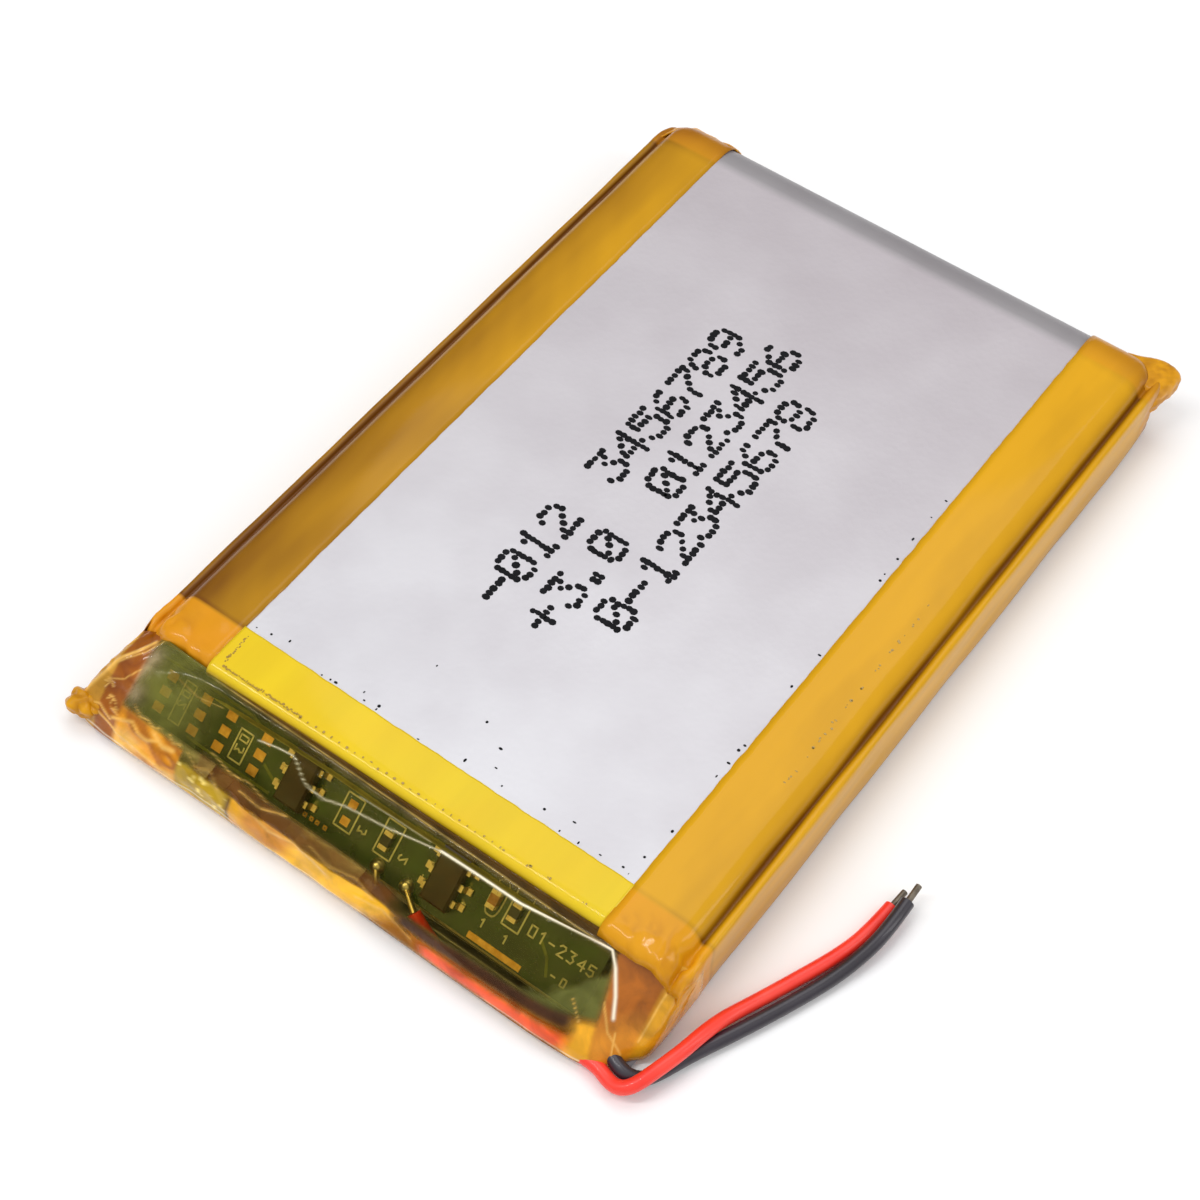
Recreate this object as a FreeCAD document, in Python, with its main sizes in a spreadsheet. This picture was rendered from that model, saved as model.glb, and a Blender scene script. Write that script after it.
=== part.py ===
"""Pouch battery cell: a wound lithium cell in a folded laminate pouch.

The pouch lies flat: X across its width, Y along its length with the circuit board
at the -Y end and the folded end at +Y, Z up.  The origin is the middle of the
rectangle that the cell rests on.  All sizes are millimetres.
"""
import FreeCAD, Part
import math
import os
import re

import Sketcher

document = FreeCAD.newDocument("PouchCell")
sheet = document.addObject("Spreadsheet::Sheet", "Sizes")

# Driving dimensions: alias, value and what it is.
DRIVING = (
    ("overall_width", 34.0, "width over the side tapes"),
    ("overall_length", 50.6, "front tape to folded end, without the leads"),
    ("overall_height", 5.0, "thickness over the tapes"),
    ("tape", 0.06, "thickness of the polyimide tape"),
    ("film", 0.11, "thickness of the aluminium laminate film"),
    ("terrace", 3.7, "sealed ledge in front of the cup"),
    ("film_setback", 1.1, "film's front edge behind the front tape"),
    ("wing_height", 4.0, "top of the folded side seals"),
    ("wing_setback", 0.7, "folded seals' front end behind the film's front edge"),
    ("wing_far", 0.35, "folded seals' far end short of the folded end"),
    ("wing_gap", 0.42, "air between cup wall and folded seal"),
    ("wing_bend", 0.25, "bevel at the foot of a folded seal"),
    ("cup_corner", 1.5, "corner radius of the drawn cup, seen from above"),
    ("cup_edge", 1.1, "radius of the cup's upper edge"),
    ("side_lap", 4.7, "side tape on the top and the bottom face"),
    ("front_lap", 2.5, "front tape on the top face, ahead of the cup wall"),
    ("under_lap", 6.2, "front tape under the bottom face"),
    ("front_tape_left", 0.7, "front tape's left end inside the overall width"),
    ("front_tape_right", 1.6, "front tape's right end inside it, where the leads leave"),
    ("anode_thickness", 0.15, "coated copper foil"),
    ("cathode_thickness", 0.13, "coated aluminium foil"),
    ("separator_thickness", 0.025, "porous film"),
    ("layer_gap", 0.008, "play between two layers of the roll"),
    ("core_radius", 0.10, "empty middle of the roll"),
    ("roll_side_gap", 0.3, "roll to cup wall, each side"),
    ("roll_front_gap", 0.9, "roll to the cup's front wall"),
    ("roll_far_gap", 0.8, "roll to the cup's far wall"),
    ("fixing_width", 9.0, "tape that ends the winding"),
    ("fixing_thickness", 0.03, "thickness of that tape"),
    ("tab_width", 4.0, "width of each tab"),
    ("tab_thickness", 0.1, "thickness of each tab"),
    ("positive_tab_x", -12.0, "middle of the aluminium tab"),
    ("negative_tab_x", -2.0, "middle of the nickel tab"),
    ("sealant", 0.05, "resin on each face of a tab"),
    ("sealant_margin", 1.0, "resin beside a tab, each side"),
    ("sealant_out", 0.35, "resin in front of the film's edge"),
    ("board_length", 28.8, "protection board along X"),
    ("board_width", 3.62, "protection board down its slope"),
    ("board_thickness", 0.5, "bare board"),
    ("board_middle", -1.1, "middle of the board along X"),
    ("board_rise", 4.0, "height of the board's upper edge"),
    ("board_stand", 0.5, "board's upper edge in front of the cup wall"),
    ("board_tilt", 39.4, "slope of the board in degrees"),
    ("plate_thickness", 0.1, "nickel plates under the board"),
    ("plate_width", 3.0, "nickel plates along X"),
    ("plate_depth", 2.2, "nickel plates down the slope"),
    ("ledge_paper", 0.12, "insulating paper on the terrace"),
    ("chip_length", 2.9, "body of a six-pin chip down the slope"),
    ("chip_width", 1.6, "body of a six-pin chip along X"),
    ("chip_height", 0.75, "top of a chip above the board"),
    ("chip_stand", 0.1, "air under a chip"),
    ("pin_pitch", 0.9, "pitch of a chip's pins"),
    ("pin_width", 0.36, "width of a pin"),
    ("pin_metal", 0.12, "thickness of a pin"),
    ("pin_span", 2.8, "toe to toe over a chip's pins"),
    ("block_length", 1.0, "small resistor or capacitor down the slope"),
    ("block_width", 0.5, "small resistor or capacitor along X"),
    ("resistor_height", 0.35, "height of a resistor"),
    ("capacitor_height", 0.5, "height of a capacitor"),
    ("cap_length", 0.24, "metal end of such a block"),
    ("pad_height", 0.03, "copper and gold above the board"),
    ("lead_diameter", 0.76, "insulation of a lead"),
    ("core_diameter", 0.34, "tinned strands of a lead"),
    ("core_bare", 1.1, "stripped length at a free end"),
    ("joint_radius", 0.42, "solder on a lead's pad"),
)

for row, (alias, number, meaning) in enumerate(DRIVING, start=1):
    sheet.set(f"A{row}", meaning)
    sheet.set(f"B{row}", str(number))
    sheet.setAlias(f"B{row}", alias)
document.recompute()

# Places worked out from the driving dimensions, as expressions on the sheet.
DERIVED = {
    "front": "(-overall_length / 2)",
    "far": "(overall_length / 2)",
    "film_front": "(-overall_length / 2 + film_setback)",
    "cup_front": "(-overall_length / 2 + film_setback + terrace)",
    "wing_front": "(-overall_length / 2 + film_setback + wing_setback)",
    "wing_end": "(overall_length / 2 - wing_far)",
    "wing_outer": "(overall_width / 2 - tape)",
    "cup_half": "(overall_width / 2 - tape - 2 * film - wing_gap)",
    "cup_foot": "(tape + film)",
    "cup_top": "(overall_height - tape)",
    "roll_middle": "(overall_height / 2)",
    "layer_pitch": "(anode_thickness + cathode_thickness + 2 * separator_thickness"
                   " + 4 * layer_gap)",
    "board_y": "(-overall_length / 2 + film_setback + terrace - board_stand)",
    "slope_cos": "cos(board_tilt * 1 deg)",
    "slope_sin": "sin(board_tilt * 1 deg)",
    "lap_x": "(overall_width / 2 - side_lap)",
}
WORD = re.compile(r"[a-z][a-z_]*[a-z]")
ALIASES = {alias for alias, number, meaning in DRIVING}


def bind(text):
    """Turn a rule written with plain names into a FreeCAD expression on the sheet."""
    def spell(match):
        word = match.group(0)
        if word in DERIVED:
            return bind(DERIVED[word])
        if word in ALIASES:
            return "Sizes." + word
        return word
    return WORD.sub(spell, str(text))


def value(text):
    """The number that a rule gives with the sheet's present sizes."""
    result = sheet.evalExpression(bind(text))
    return float(getattr(result, "Value", result))


nodes = []


def keep(item, label):
    """Name a finished sub-part and list it for export."""
    item.Label = label
    nodes.append(item)
    return item


# ---------------------------------------------------------------- drawing helpers

def draw(sketch, corners, closed=True):
    """Straight lines through the corners, each corner bound to the sheet."""
    points = [FreeCAD.Vector(value(across), value(up), 0) for across, up in corners]
    lines = len(points) if closed else len(points) - 1
    for index in range(lines):
        following = points[(index + 1) % len(points)]
        sketch.addGeometry(Part.LineSegment(points[index], following))
    for index in range(lines if closed else lines - 1):
        following = (index + 1) % lines
        sketch.addConstraint(Sketcher.Constraint("Coincident", index, 2, following, 1))
    for index, (across, up) in enumerate(corners):
        line, end = (index, 1) if index < lines else (index - 1, 2)
        for kind, rule, number in (
            ("DistanceX", across, points[index].x),
            ("DistanceY", up, points[index].y),
        ):
            place = sketch.addConstraint(
                Sketcher.Constraint(kind, -1, 1, line, end, number)
            )
            sketch.setExpression(f"Constraints[{place}]", bind(rule))
    return sketch


def face_sketch(body, plane, corners, lift="0"):
    """Closed outline on one of the body's own origin planes, lifted off it."""
    sketch = body.newObject("Sketcher::SketchObject", "Outline")
    origin = [item for item in body.Origin.OriginFeatures if item.Role == plane][0]
    sketch.AttachmentSupport = [(origin, "")]
    sketch.MapMode = "FlatFace"
    sketch.setExpression("AttachmentOffset.Base.z", bind(lift))
    return draw(sketch, corners)


def feature(body, kind, sketch, length, backwards=False):
    """Pad or pocket an outline by a bound length."""
    item = body.newObject("PartDesign::" + kind, kind)
    item.Profile = sketch
    item.setExpression("Length", bind(length))
    item.Reversed = backwards
    sketch.Visibility = False
    document.recompute()
    return item


def rectangle(left, right, low, high):
    """The four corners of a rectangle, anticlockwise."""
    return ((left, low), (right, low), (right, high), (left, high))


def across_pad(body, corners, start, end):
    """Pad an outline drawn in X and Z from Y = start to Y = end."""
    sketch = face_sketch(body, "XZ_Plane", corners, lift=f"-({end})")
    return feature(body, "Pad", sketch, f"({end}) - ({start})")


def block(label, corner, extent):
    """A plain box from its lowest corner and its three sizes."""
    item = document.addObject("Part::Box", label)
    for name, rule in zip(("Length", "Width", "Height"), extent):
        item.setExpression(name, bind(rule))
    for axis, rule in zip("xyz", corner):
        item.setExpression("Placement.Base." + axis, bind(rule))
    return item


def combine(kind, label, base, tool):
    """A Part::Cut, Part::Fuse or Part::Common of two objects."""
    item = document.addObject("Part::" + kind, label)
    item.Base = base
    item.Tool = tool
    return item


def strip(label, corners, thickness, across, start, end):
    """A sheet of even thickness that follows a bent path.

    The path is drawn in X and Z when across is "Y", or in Y and Z when across is "X".
    It goes clockwise round the object, and the material lies inside it.
    """
    path = document.addObject("Sketcher::SketchObject", "Path")
    draw(path, corners, closed=False)
    if across == "Y":
        path.Placement.Rotation = FreeCAD.Rotation(FreeCAD.Vector(1, 0, 0), 90)
        path.setExpression("Placement.Base.y", bind(start))
    else:
        path.Placement.Rotation = FreeCAD.Rotation(FreeCAD.Vector(1, 1, 1), 120)
        path.setExpression("Placement.Base.x", bind(start))
    profile = document.addObject("Part::Offset2D", "Profile")
    profile.Source = path
    profile.Mode = "Skin"
    profile.Join = "Intersection"
    profile.Fill = True
    inwards = "-1" if across == "Y" else "1"
    profile.setExpression("Value", bind(f"{inwards} * {thickness}"))
    item = document.addObject("Part::Extrusion", label)
    item.Base = profile
    item.DirMode = "Custom"
    item.Dir = FreeCAD.Vector(0, 1, 0) if across == "Y" else FreeCAD.Vector(1, 0, 0)
    item.Solid = True
    item.setExpression("LengthFwd", bind(f"({end}) - ({start})"))
    path.Visibility = False
    return item


def on_board(item, along, up_slope, above="0"):
    """Place a piece by its spot on the board: along X, up the slope, above the face."""
    item.Placement.Rotation = FreeCAD.Rotation(FreeCAD.Vector(1, 0, 0), value("board_tilt"))
    item.setExpression("Placement.Rotation.Angle", bind("board_tilt * 1 deg"))
    item.setExpression("Placement.Base.x", bind(along))
    item.setExpression(
        "Placement.Base.y",
        bind(f"board_y + ({up_slope}) * slope_cos - ({above}) * slope_sin"),
    )
    item.setExpression(
        "Placement.Base.z",
        bind(f"board_rise + ({up_slope}) * slope_sin + ({above}) * slope_cos"),
    )
    return item


def group(label, items):
    """Several separate solids kept as one sub-part."""
    item = document.addObject("Part::Compound", label)
    item.Links = items
    return item


# ---------------------------------------------------------------- pouch film

MITRE = math.tan(math.radians(22.5))    # shift of a 45 degree bevel's corner per offset


def seal_profile(side, layer):
    """Section of a side seal folded up beside the cup; layer 0 is the cover's film.

    It is a flat foot, a bevel and an upright leaf, each one film thick.
    """
    def skin(depth):
        wall = f"wing_outer - {depth} * film"
        shift = f"{depth * MITRE:.4f} * film"
        return (
            (f"{side} * ({wall})", "wing_height"),
            (f"{side} * ({wall})", f"tape + wing_bend + {shift}"),
            (f"{side} * (wing_outer - wing_bend - {shift})", f"tape + {depth} * film"),
            (f"{side} * (cup_half - film)", f"tape + {depth} * film"),
        )
    return skin(layer) + skin(layer + 1)[::-1]


def pouch_cover():
    """Flat lower film with the outer leaves of both side seals."""
    body = document.addObject("PartDesign::Body", "CoverBody")
    plate = rectangle("-cup_half", "cup_half", "film_front", "far")
    feature(body, "Pad", face_sketch(body, "XY_Plane", plate, lift="tape"), "film")
    for side in (1, -1):
        across_pad(body, seal_profile(side, 0), "wing_front", "wing_end")
    foot = rectangle("-(wing_outer - wing_bend)", "wing_outer - wing_bend",
                     "film_front", "wing_end")
    feature(body, "Pad", face_sketch(body, "XY_Plane", foot, lift="tape"), "film")
    return keep(body, "pouch_cover")


def pouch_cup():
    """Upper film: the drawn cup, the terrace and the inner leaves of the side seals."""
    body = document.addObject("PartDesign::Body", "CupBody")
    plan = rectangle("-cup_half", "cup_half", "cup_front", "far")
    solid = feature(body, "Pad", face_sketch(body, "XY_Plane", plan, lift="cup_foot"),
                    "cup_top - cup_foot")
    upright = [
        f"Edge{number}" for number, edge in enumerate(solid.Shape.Edges, start=1)
        if abs(edge.tangentAt(edge.FirstParameter).z) > 0.99
    ]
    corners = body.newObject("PartDesign::Fillet", "Corners")
    corners.Base = (solid, upright)
    corners.setExpression("Radius", bind("cup_corner"))
    document.recompute()
    top = max(vertex.Z for vertex in corners.Shape.Vertexes)
    rim = [
        f"Edge{number}" for number, edge in enumerate(corners.Shape.Edges, start=1)
        if all(abs(vertex.Z - top) < 1e-6 for vertex in edge.Vertexes)
    ]
    rounding = body.newObject("PartDesign::Fillet", "Rounding")
    rounding.Base = (corners, rim)
    rounding.setExpression("Radius", bind("cup_edge"))
    document.recompute()
    low = min(vertex.Z for vertex in rounding.Shape.Vertexes)
    mouth = [
        f"Face{number}" for number, face in enumerate(rounding.Shape.Faces, start=1)
        if abs(face.CenterOfMass.z - low) < 1e-6
    ]
    shell = body.newObject("PartDesign::Thickness", "Shell")
    shell.Base = (rounding, mouth)
    shell.Reversed = True
    shell.setExpression("Value", bind("film"))
    document.recompute()

    ledge = rectangle("-(wing_outer - wing_bend - film)", "wing_outer - wing_bend - film",
                      "film_front", "cup_front + film")
    feature(body, "Pad", face_sketch(body, "XY_Plane", ledge, lift="cup_foot"), "film")
    for side in (1, -1):
        across_pad(body, seal_profile(side, 1), "wing_front", "wing_end")
    sleeve = "(tab_thickness + 2 * sealant)"
    half = "(tab_width / 2 + sealant_margin)"
    for middle in ("positive_tab_x", "negative_tab_x"):
        ridge = rectangle(f"{middle} - {half} - film", f"{middle} + {half} + film",
                          "cup_foot", f"cup_foot + film + {sleeve}")
        across_pad(body, ridge, "film_front", "cup_front + film")
    for middle in ("positive_tab_x", "negative_tab_x"):
        channel = rectangle(f"{middle} - {half}", f"{middle} + {half}",
                            "cup_foot", f"cup_foot + {sleeve}")
        reach = "cup_front + 2 * film"
        sketch = face_sketch(body, "XZ_Plane", channel, lift=f"-({reach})")
        before = body.Shape.Volume
        feature(body, "Pocket", sketch, f"{reach} - film_front", backwards=True)
        if body.Shape.Volume > before - 0.1:
            raise RuntimeError("a tab channel cut nothing")
    return keep(body, "pouch_cup")


# ---------------------------------------------------------------- wound roll

def roll_half_width():
    """Distance from the roll's axis plane to the centre of its rounded ends."""
    turns = roll_turns()
    radius = value("core_radius") + turns * value("layer_pitch")
    return value("cup_half - film - roll_side_gap") - radius


def roll_turns():
    """Whole turns that the cup's depth takes."""
    room = value("(cup_top - cup_foot - film) / 2 - core_radius")
    return int((room - 0.02) / value("layer_pitch"))


def winding(offset, turns):
    """Edges of the flat spiral at one distance outside the roll's empty core.

    Half circles about two centres alternate with straight runs.  The left centre
    sits half a pitch lower, so each turn ends one pitch further out.
    """
    reach = roll_half_width()
    pitch = value("layer_pitch")
    middle = value("roll_middle")
    depth = value("cup_front + film + roll_front_gap")
    radius = value("core_radius") + offset

    def at(across, up):
        return FreeCAD.Vector(across, depth, middle + up)

    edges = []
    for turn in range(turns):
        grown = radius + turn * pitch
        edges.append(Part.Arc(at(reach, -grown), at(reach + grown, 0), at(reach, grown)).toShape())
        if turn == turns - 1:
            break
        wide = grown + pitch / 2
        centre = -pitch / 2
        edges.append(Part.LineSegment(at(reach, grown), at(-reach, grown)).toShape())
        edges.append(
            Part.Arc(at(-reach, grown), at(-reach - wide, centre), at(-reach, centre - wide)).toShape()
        )
        edges.append(
            Part.LineSegment(at(-reach, -grown - pitch), at(reach, -grown - pitch)).toShape()
        )
    end = radius + (turns - 1) * pitch
    edges.append(Part.LineSegment(at(reach, end), at(-reach / 2, end)).toShape())
    return edges


def wound_layer(label, offset, thickness, inset):
    """One continuous strip of the roll, as wide as the roll less its inset."""
    turns = roll_turns()
    inner = winding(offset, turns)
    outer = winding(offset + thickness, turns)
    starts = (inner[0].Vertexes[0].Point, outer[0].Vertexes[0].Point)
    ends = (inner[-1].Vertexes[-1].Point, outer[-1].Vertexes[-1].Point)
    caps = [Part.LineSegment(*starts).toShape(), Part.LineSegment(*ends).toShape()]
    outline = Part.Wire(Part.__sortEdges__(inner + outer + caps))
    width = value("far - film - roll_far_gap - cup_front - film - roll_front_gap")
    solid = Part.Face(outline).extrude(FreeCAD.Vector(0, width - 2 * inset, 0))
    item = document.addObject("Part::Feature", label)
    item.Shape = solid
    item.Placement.Base = FreeCAD.Vector(0, inset, 0)
    return keep(item, label)


def wound_roll():
    """Anode, separator, cathode and separator wound together, and the closing tape."""
    gap = value("layer_gap")
    anode = value("anode_thickness")
    cathode = value("cathode_thickness")
    separator = value("separator_thickness")
    offset = gap
    for label, thickness, inset in (
        ("anode_strip", anode, 0.5),
        ("inner_separator", separator, 0.0),
        ("cathode_strip", cathode, 0.9),
        ("outer_separator", separator, 0.0),
    ):
        wound_layer(label, offset, thickness, inset)
        offset += thickness + gap
    keep(
        block(
            "roll_fixing_tape",
            ("-fixing_width / 2", "cup_front + film + roll_front_gap + 1",
             "cup_top - film - fixing_thickness - 0.005"),
            ("fixing_width",
             "far - film - roll_far_gap - cup_front - film - roll_front_gap - 2",
             "fixing_thickness"),
        ),
        "roll_fixing_tape",
    )


# ---------------------------------------------------------------- tabs

def under_board(from_edge, depth):
    """Y and Z rules of a point below the board, measured up its slope from the low edge."""
    down = f"(board_width - ({from_edge}))"
    return (
        f"board_y - {down} * slope_cos + (board_thickness + ({depth})) * slope_sin",
        f"board_rise - {down} * slope_sin - (board_thickness + ({depth})) * slope_cos",
    )


def tab(label, middle):
    """Metal strip from the roll, through the seal, folded back under the board."""
    lower = "cup_foot + sealant"
    close = "plate_thickness + tab_thickness"
    path = (
        ("cup_front + film + roll_front_gap - 0.05", "roll_middle"),
        ("cup_front + film + roll_front_gap - 0.05", "cup_foot + 0.5"),
        ("cup_front + film + 0.45", lower),
        ("film_front - 0.75", lower),
        ("film_front - 0.9", f"{lower} + 0.18"),
        ("film_front - 0.9", f"{lower} + 0.5"),
        under_board("0.05", f"{close} + 0.12"),
        under_board("0.6", close),
        under_board("2.4", close),
    )
    item = strip(label, path, "tab_thickness", "X", f"{middle} - tab_width / 2",
                 f"{middle} + tab_width / 2")
    return keep(item, label)


def tab_sealant(label, middle):
    """Resin sleeve that bonds the tab to both films."""
    half = "(tab_width / 2 + sealant_margin)"
    start = "film_front - sealant_out"
    length = f"cup_front + film + 0.2 - ({start})"
    outer = block("Sleeve", (f"{middle} - {half}", start, "cup_foot"),
                  (f"2 * {half}", length, "tab_thickness + 2 * sealant"))
    slot = block("Slot", (f"{middle} - tab_width / 2", f"{start} - 1", "cup_foot + sealant"),
                 ("tab_width", f"{length} + 2", "tab_thickness"))
    return keep(combine("Cut", label, outer, slot), label)


# ---------------------------------------------------------------- protection board

SPARE_CHIPS = ((-12.95, 1.95, 2.35), (-8.9, 1.9, 2.35))    # along X, down the slope, pad span
CHIPS = (("protection_chip", -4.95, 1.65), ("switching_chip", 4.39, 1.55))
BLOCKS = (
    ("filter_resistor", 0.62, 1.75, "resistor_height"),
    ("sense_resistor", 8.22, 1.05, "resistor_height"),
    ("filter_capacitor", 7.02, 1.05, "capacitor_height"),
)
EMPTY_BLOCK = (-1.93, 1.75)
LEAD_PADS = (("red", 2.6), ("black", 0.75))
LEAD_PAD_DOWN = 3.15


def board_piece(label, middle, down, extent, above="0"):
    """A small box on the board, centred along X and down the slope."""
    item = document.addObject("Part::Box", label)
    for name, rule in zip(("Length", "Width", "Height"), extent):
        item.setExpression(name, bind(rule))
    wide, deep, high = extent
    return on_board(item, f"{middle} - ({wide}) / 2", f"-({down}) - ({deep}) / 2", above)


def chip_body(label, middle, down):
    """Moulded body of a six-pin chip with its upper edges bevelled."""
    body = document.addObject("PartDesign::Body", label.title())
    plan = rectangle("-chip_width / 2", "chip_width / 2", "-chip_length / 2", "chip_length / 2")
    solid = feature(body, "Pad", face_sketch(body, "XY_Plane", plan, lift="chip_stand"),
                    "chip_height - chip_stand")
    top = max(vertex.Z for vertex in solid.Shape.Vertexes)
    rim = [
        f"Edge{number}" for number, edge in enumerate(solid.Shape.Edges, start=1)
        if all(abs(vertex.Z - top) < 1e-6 for vertex in edge.Vertexes)
    ]
    bevel = body.newObject("PartDesign::Chamfer", "Bevel")
    bevel.Base = (solid, rim)
    bevel.setExpression("Size", bind("chip_height * 0.16"))
    on_board(body, middle, f"-({down})")
    return keep(body, label)


def chip_pins(label, middle, down):
    """Six bent pins, three on each long side."""
    pins = []
    for side in (1, -1):
        bend = "(chip_width / 2 + 0.14)"
        knee = "(pin_span / 2 - 0.34)"
        rise = "(chip_height * 0.5)"
        outline = [
            ("chip_width / 2", f"{rise} + pin_metal"),
            ("chip_width / 2", rise),
            (bend, rise),
            (knee, "pad_height"),
            ("pin_span / 2", "pad_height"),
            ("pin_span / 2", "pad_height + pin_metal"),
            (f"{knee} + 0.08", "pad_height + pin_metal"),
            (f"{bend} + 0.08", f"{rise} + pin_metal"),
        ]
        for step in (-1, 0, 1):
            sketch = document.addObject("Sketcher::SketchObject", "Pin")
            draw(sketch, [(f"{side} * ({across})", up) for across, up in outline])
            sketch.Placement.Rotation = FreeCAD.Rotation(FreeCAD.Vector(1, 0, 0), 90)
            pin = document.addObject("Part::Extrusion", "Pin")
            pin.Base = sketch
            pin.DirMode = "Normal"
            pin.Solid = True
            pin.Symmetric = True
            pin.setExpression("LengthFwd", bind("pin_width"))
            on_board(pin, middle, f"-({down}) + {step} * pin_pitch")
            pins.append(pin)
    return keep(group(label, pins), label)


def chip_block(label, middle, down, height):
    """Ceramic block between two metal ends."""
    keep(
        board_piece(label, middle, down,
                    ("block_width", "block_length - 2 * cap_length", height), "pad_height"),
        label,
    )
    shift = "(block_length - cap_length) / 2"
    return [
        board_piece("MetalEnd", middle, f"{down} + {sign} * {shift}",
                    ("block_width", "cap_length", f"{height} + 0.01"), "pad_height")
        for sign in (1, -1)
    ]


def spare_pads():
    """Gold pads of the places that carry no component."""
    pads = []
    for middle, down, span in SPARE_CHIPS:
        for side in (1, -1):
            for step in (-1, 0, 1):
                pads.append(board_piece(
                    "Pad", f"{middle} + {side} * {span} / 2", f"{down} + {step} * pin_pitch",
                    ("0.62", "0.5", "pad_height"),
                ))
    middle, down = EMPTY_BLOCK
    for step in (1, -1):
        pads.append(board_piece("Pad", middle, f"{down} + {step} * 0.47",
                                ("0.5", "0.45", "pad_height")))
    pads.append(board_piece("Pad", 8.1, 3.36, ("3.2", "0.34", "pad_height")))
    return keep(group("spare_pads", pads), "spare_pads")


def solder_joint(label, middle):
    """Rounded solder on a lead's pad."""
    dome = document.addObject("Part::Sphere", "Dome")
    dome.Angle1 = 0
    dome.setExpression("Radius", bind("joint_radius"))
    on_board(dome, middle, f"-({LEAD_PAD_DOWN})")
    return dome


def protection_board():
    """Bare board, its components, the plates under it and the paper that it rests on."""
    keep(
        board_piece("circuit_board", "board_middle", "board_width / 2",
                    ("board_length", "board_width", "board_thickness"), "-board_thickness"),
        "circuit_board",
    )
    for label, middle, down in CHIPS:
        chip_body(label, middle, down)
        chip_pins(label + "_pins", middle, down)
    ends = []
    for label, middle, down, height in BLOCKS:
        ends += chip_block(label, middle, down, height)
    keep(group("component_metal_ends", ends), "component_metal_ends")
    spare_pads()
    for name in ("positive", "negative"):
        label = name + "_weld_plate"
        keep(
            board_piece(label, f"{name}_tab_x", "board_width - 0.35 - plate_depth / 2",
                        ("plate_width", "plate_depth", "plate_thickness"),
                        "-board_thickness - plate_thickness"),
            label,
        )
    keep(
        block("terrace_paper", ("-cup_half + 1", "film_front + 0.7", "cup_foot + film + 0.2"),
              ("2 * cup_half - 2", "cup_front - film_front - 0.9", "ledge_paper")),
        "terrace_paper",
    )


# ---------------------------------------------------------------- leads

# Routes of the two leads, from the board to the free ends, chosen by hand.
RED_ROUTE = (
    (3.70, -24.28, 1.75), (5.00, -24.78, 0.95), (7.20, -24.84, 0.47), (11.40, -24.80, 0.46),
    (13.90, -24.84, 0.46), (15.30, -24.82, 0.48), (16.30, -25.20, 0.56), (16.95, -25.15, 0.80),
    (17.40, -24.72, 1.06), (17.75, -23.70, 1.18), (18.20, -22.10, 1.20), (18.42, -20.70, 1.08),
    (18.68, -19.30, 0.66), (19.30, -17.70, 0.39), (20.15, -15.70, 0.39), (21.15, -13.25, 0.39),
    (21.65, -11.40, 0.39), (21.80, -9.40, 0.39),
)
BLACK_ROUTE = (
    (1.30, -24.28, 1.75), (2.50, -24.35, 0.98), (4.30, -24.02, 0.69), (7.80, -24.00, 0.68),
    (11.50, -24.04, 0.68), (14.20, -24.00, 0.68), (15.50, -24.05, 0.69), (16.42, -24.44, 0.65),
    (17.25, -24.20, 0.42), (17.75, -23.40, 0.39), (18.42, -21.70, 0.39), (19.58, -19.30, 0.39),
    (20.72, -16.70, 0.39), (21.66, -14.30, 0.40), (22.24, -12.30, 0.72), (22.44, -10.70, 0.93),
    (22.40, -9.00, 0.95),
)


def cord_path(route):
    """Straight runs joined by tangent arcs, each arc as large as its runs allow."""
    points = [FreeCAD.Vector(*point) for point in route]
    edges = []
    radii = []
    start = points[0]
    for before, corner, after in zip(points, points[1:], points[2:]):
        back = (before - corner).normalize()
        ahead = (after - corner).normalize()
        half_turn = (math.pi - back.getAngle(ahead)) / 2
        tangent = 0.45 * min((before - corner).Length, (after - corner).Length)
        radius = tangent / math.tan(half_turn)
        enter = corner + back * tangent
        leave = corner + ahead * tangent
        inward = (back + ahead).normalize()
        crown = corner + inward * (radius / math.cos(half_turn) - radius)
        edges.append(Part.LineSegment(start, enter).toShape())
        edges.append(Part.Arc(enter, crown, leave).toShape())
        radii.append(radius)
        start = leave
    edges.append(Part.LineSegment(start, points[-1]).toShape())
    return Part.Wire(edges), radii


def lead(label, route):
    """Round insulation along the route."""
    path, radii = cord_path(route)
    radius = value("lead_diameter / 2")
    start = path.Edges[0]
    circle = Part.Circle(start.Vertexes[0].Point, start.tangentAt(0), radius)
    tube = path.makePipeShell([Part.Wire(circle.toShape())], True, False)
    item = document.addObject("Part::Feature", label)
    item.Shape = tube
    expected = math.pi * radius ** 2 * path.Length
    print(f"{label}: length {path.Length:.2f}, volume {tube.Volume:.3f} of {expected:.3f},",
          "radii", " ".join(f"{number:.2f}" for number in radii))
    return keep(item, label)


def core(label, start, direction, length):
    """Tinned strands, straight from a point."""
    item = document.addObject("Part::Feature", label)
    radius = value("core_diameter / 2")
    item.Shape = Part.makeCylinder(radius, length, start, direction)
    return item


def leads():
    """Both leads with their solder joints and stripped ends."""
    for (colour, middle), route in zip(LEAD_PADS, (RED_ROUTE, BLACK_ROUTE)):
        tube = lead(colour + "_lead", route)
        first, second = (FreeCAD.Vector(*point) for point in route[:2])
        dome = solder_joint(colour + "_joint", middle)
        document.recompute()
        centre = dome.Placement.Base + dome.Placement.Rotation.multVec(
            FreeCAD.Vector(0, 0, value("joint_radius / 2")))
        reach = first - centre
        inner = core("Strands", centre, reach, reach.Length)
        keep(combine("Cut", colour + "_joint_strands", inner, tube), colour + "_joint_strands")
        keep(combine("Cut", colour + "_solder_joint", dome, inner), colour + "_solder_joint")
        last, ahead = (FreeCAD.Vector(*point) for point in (route[-1], route[-2]))
        keep(core(colour + "_bare_end", last, last - ahead, value("core_bare")),
             colour + "_bare_end")


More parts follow.
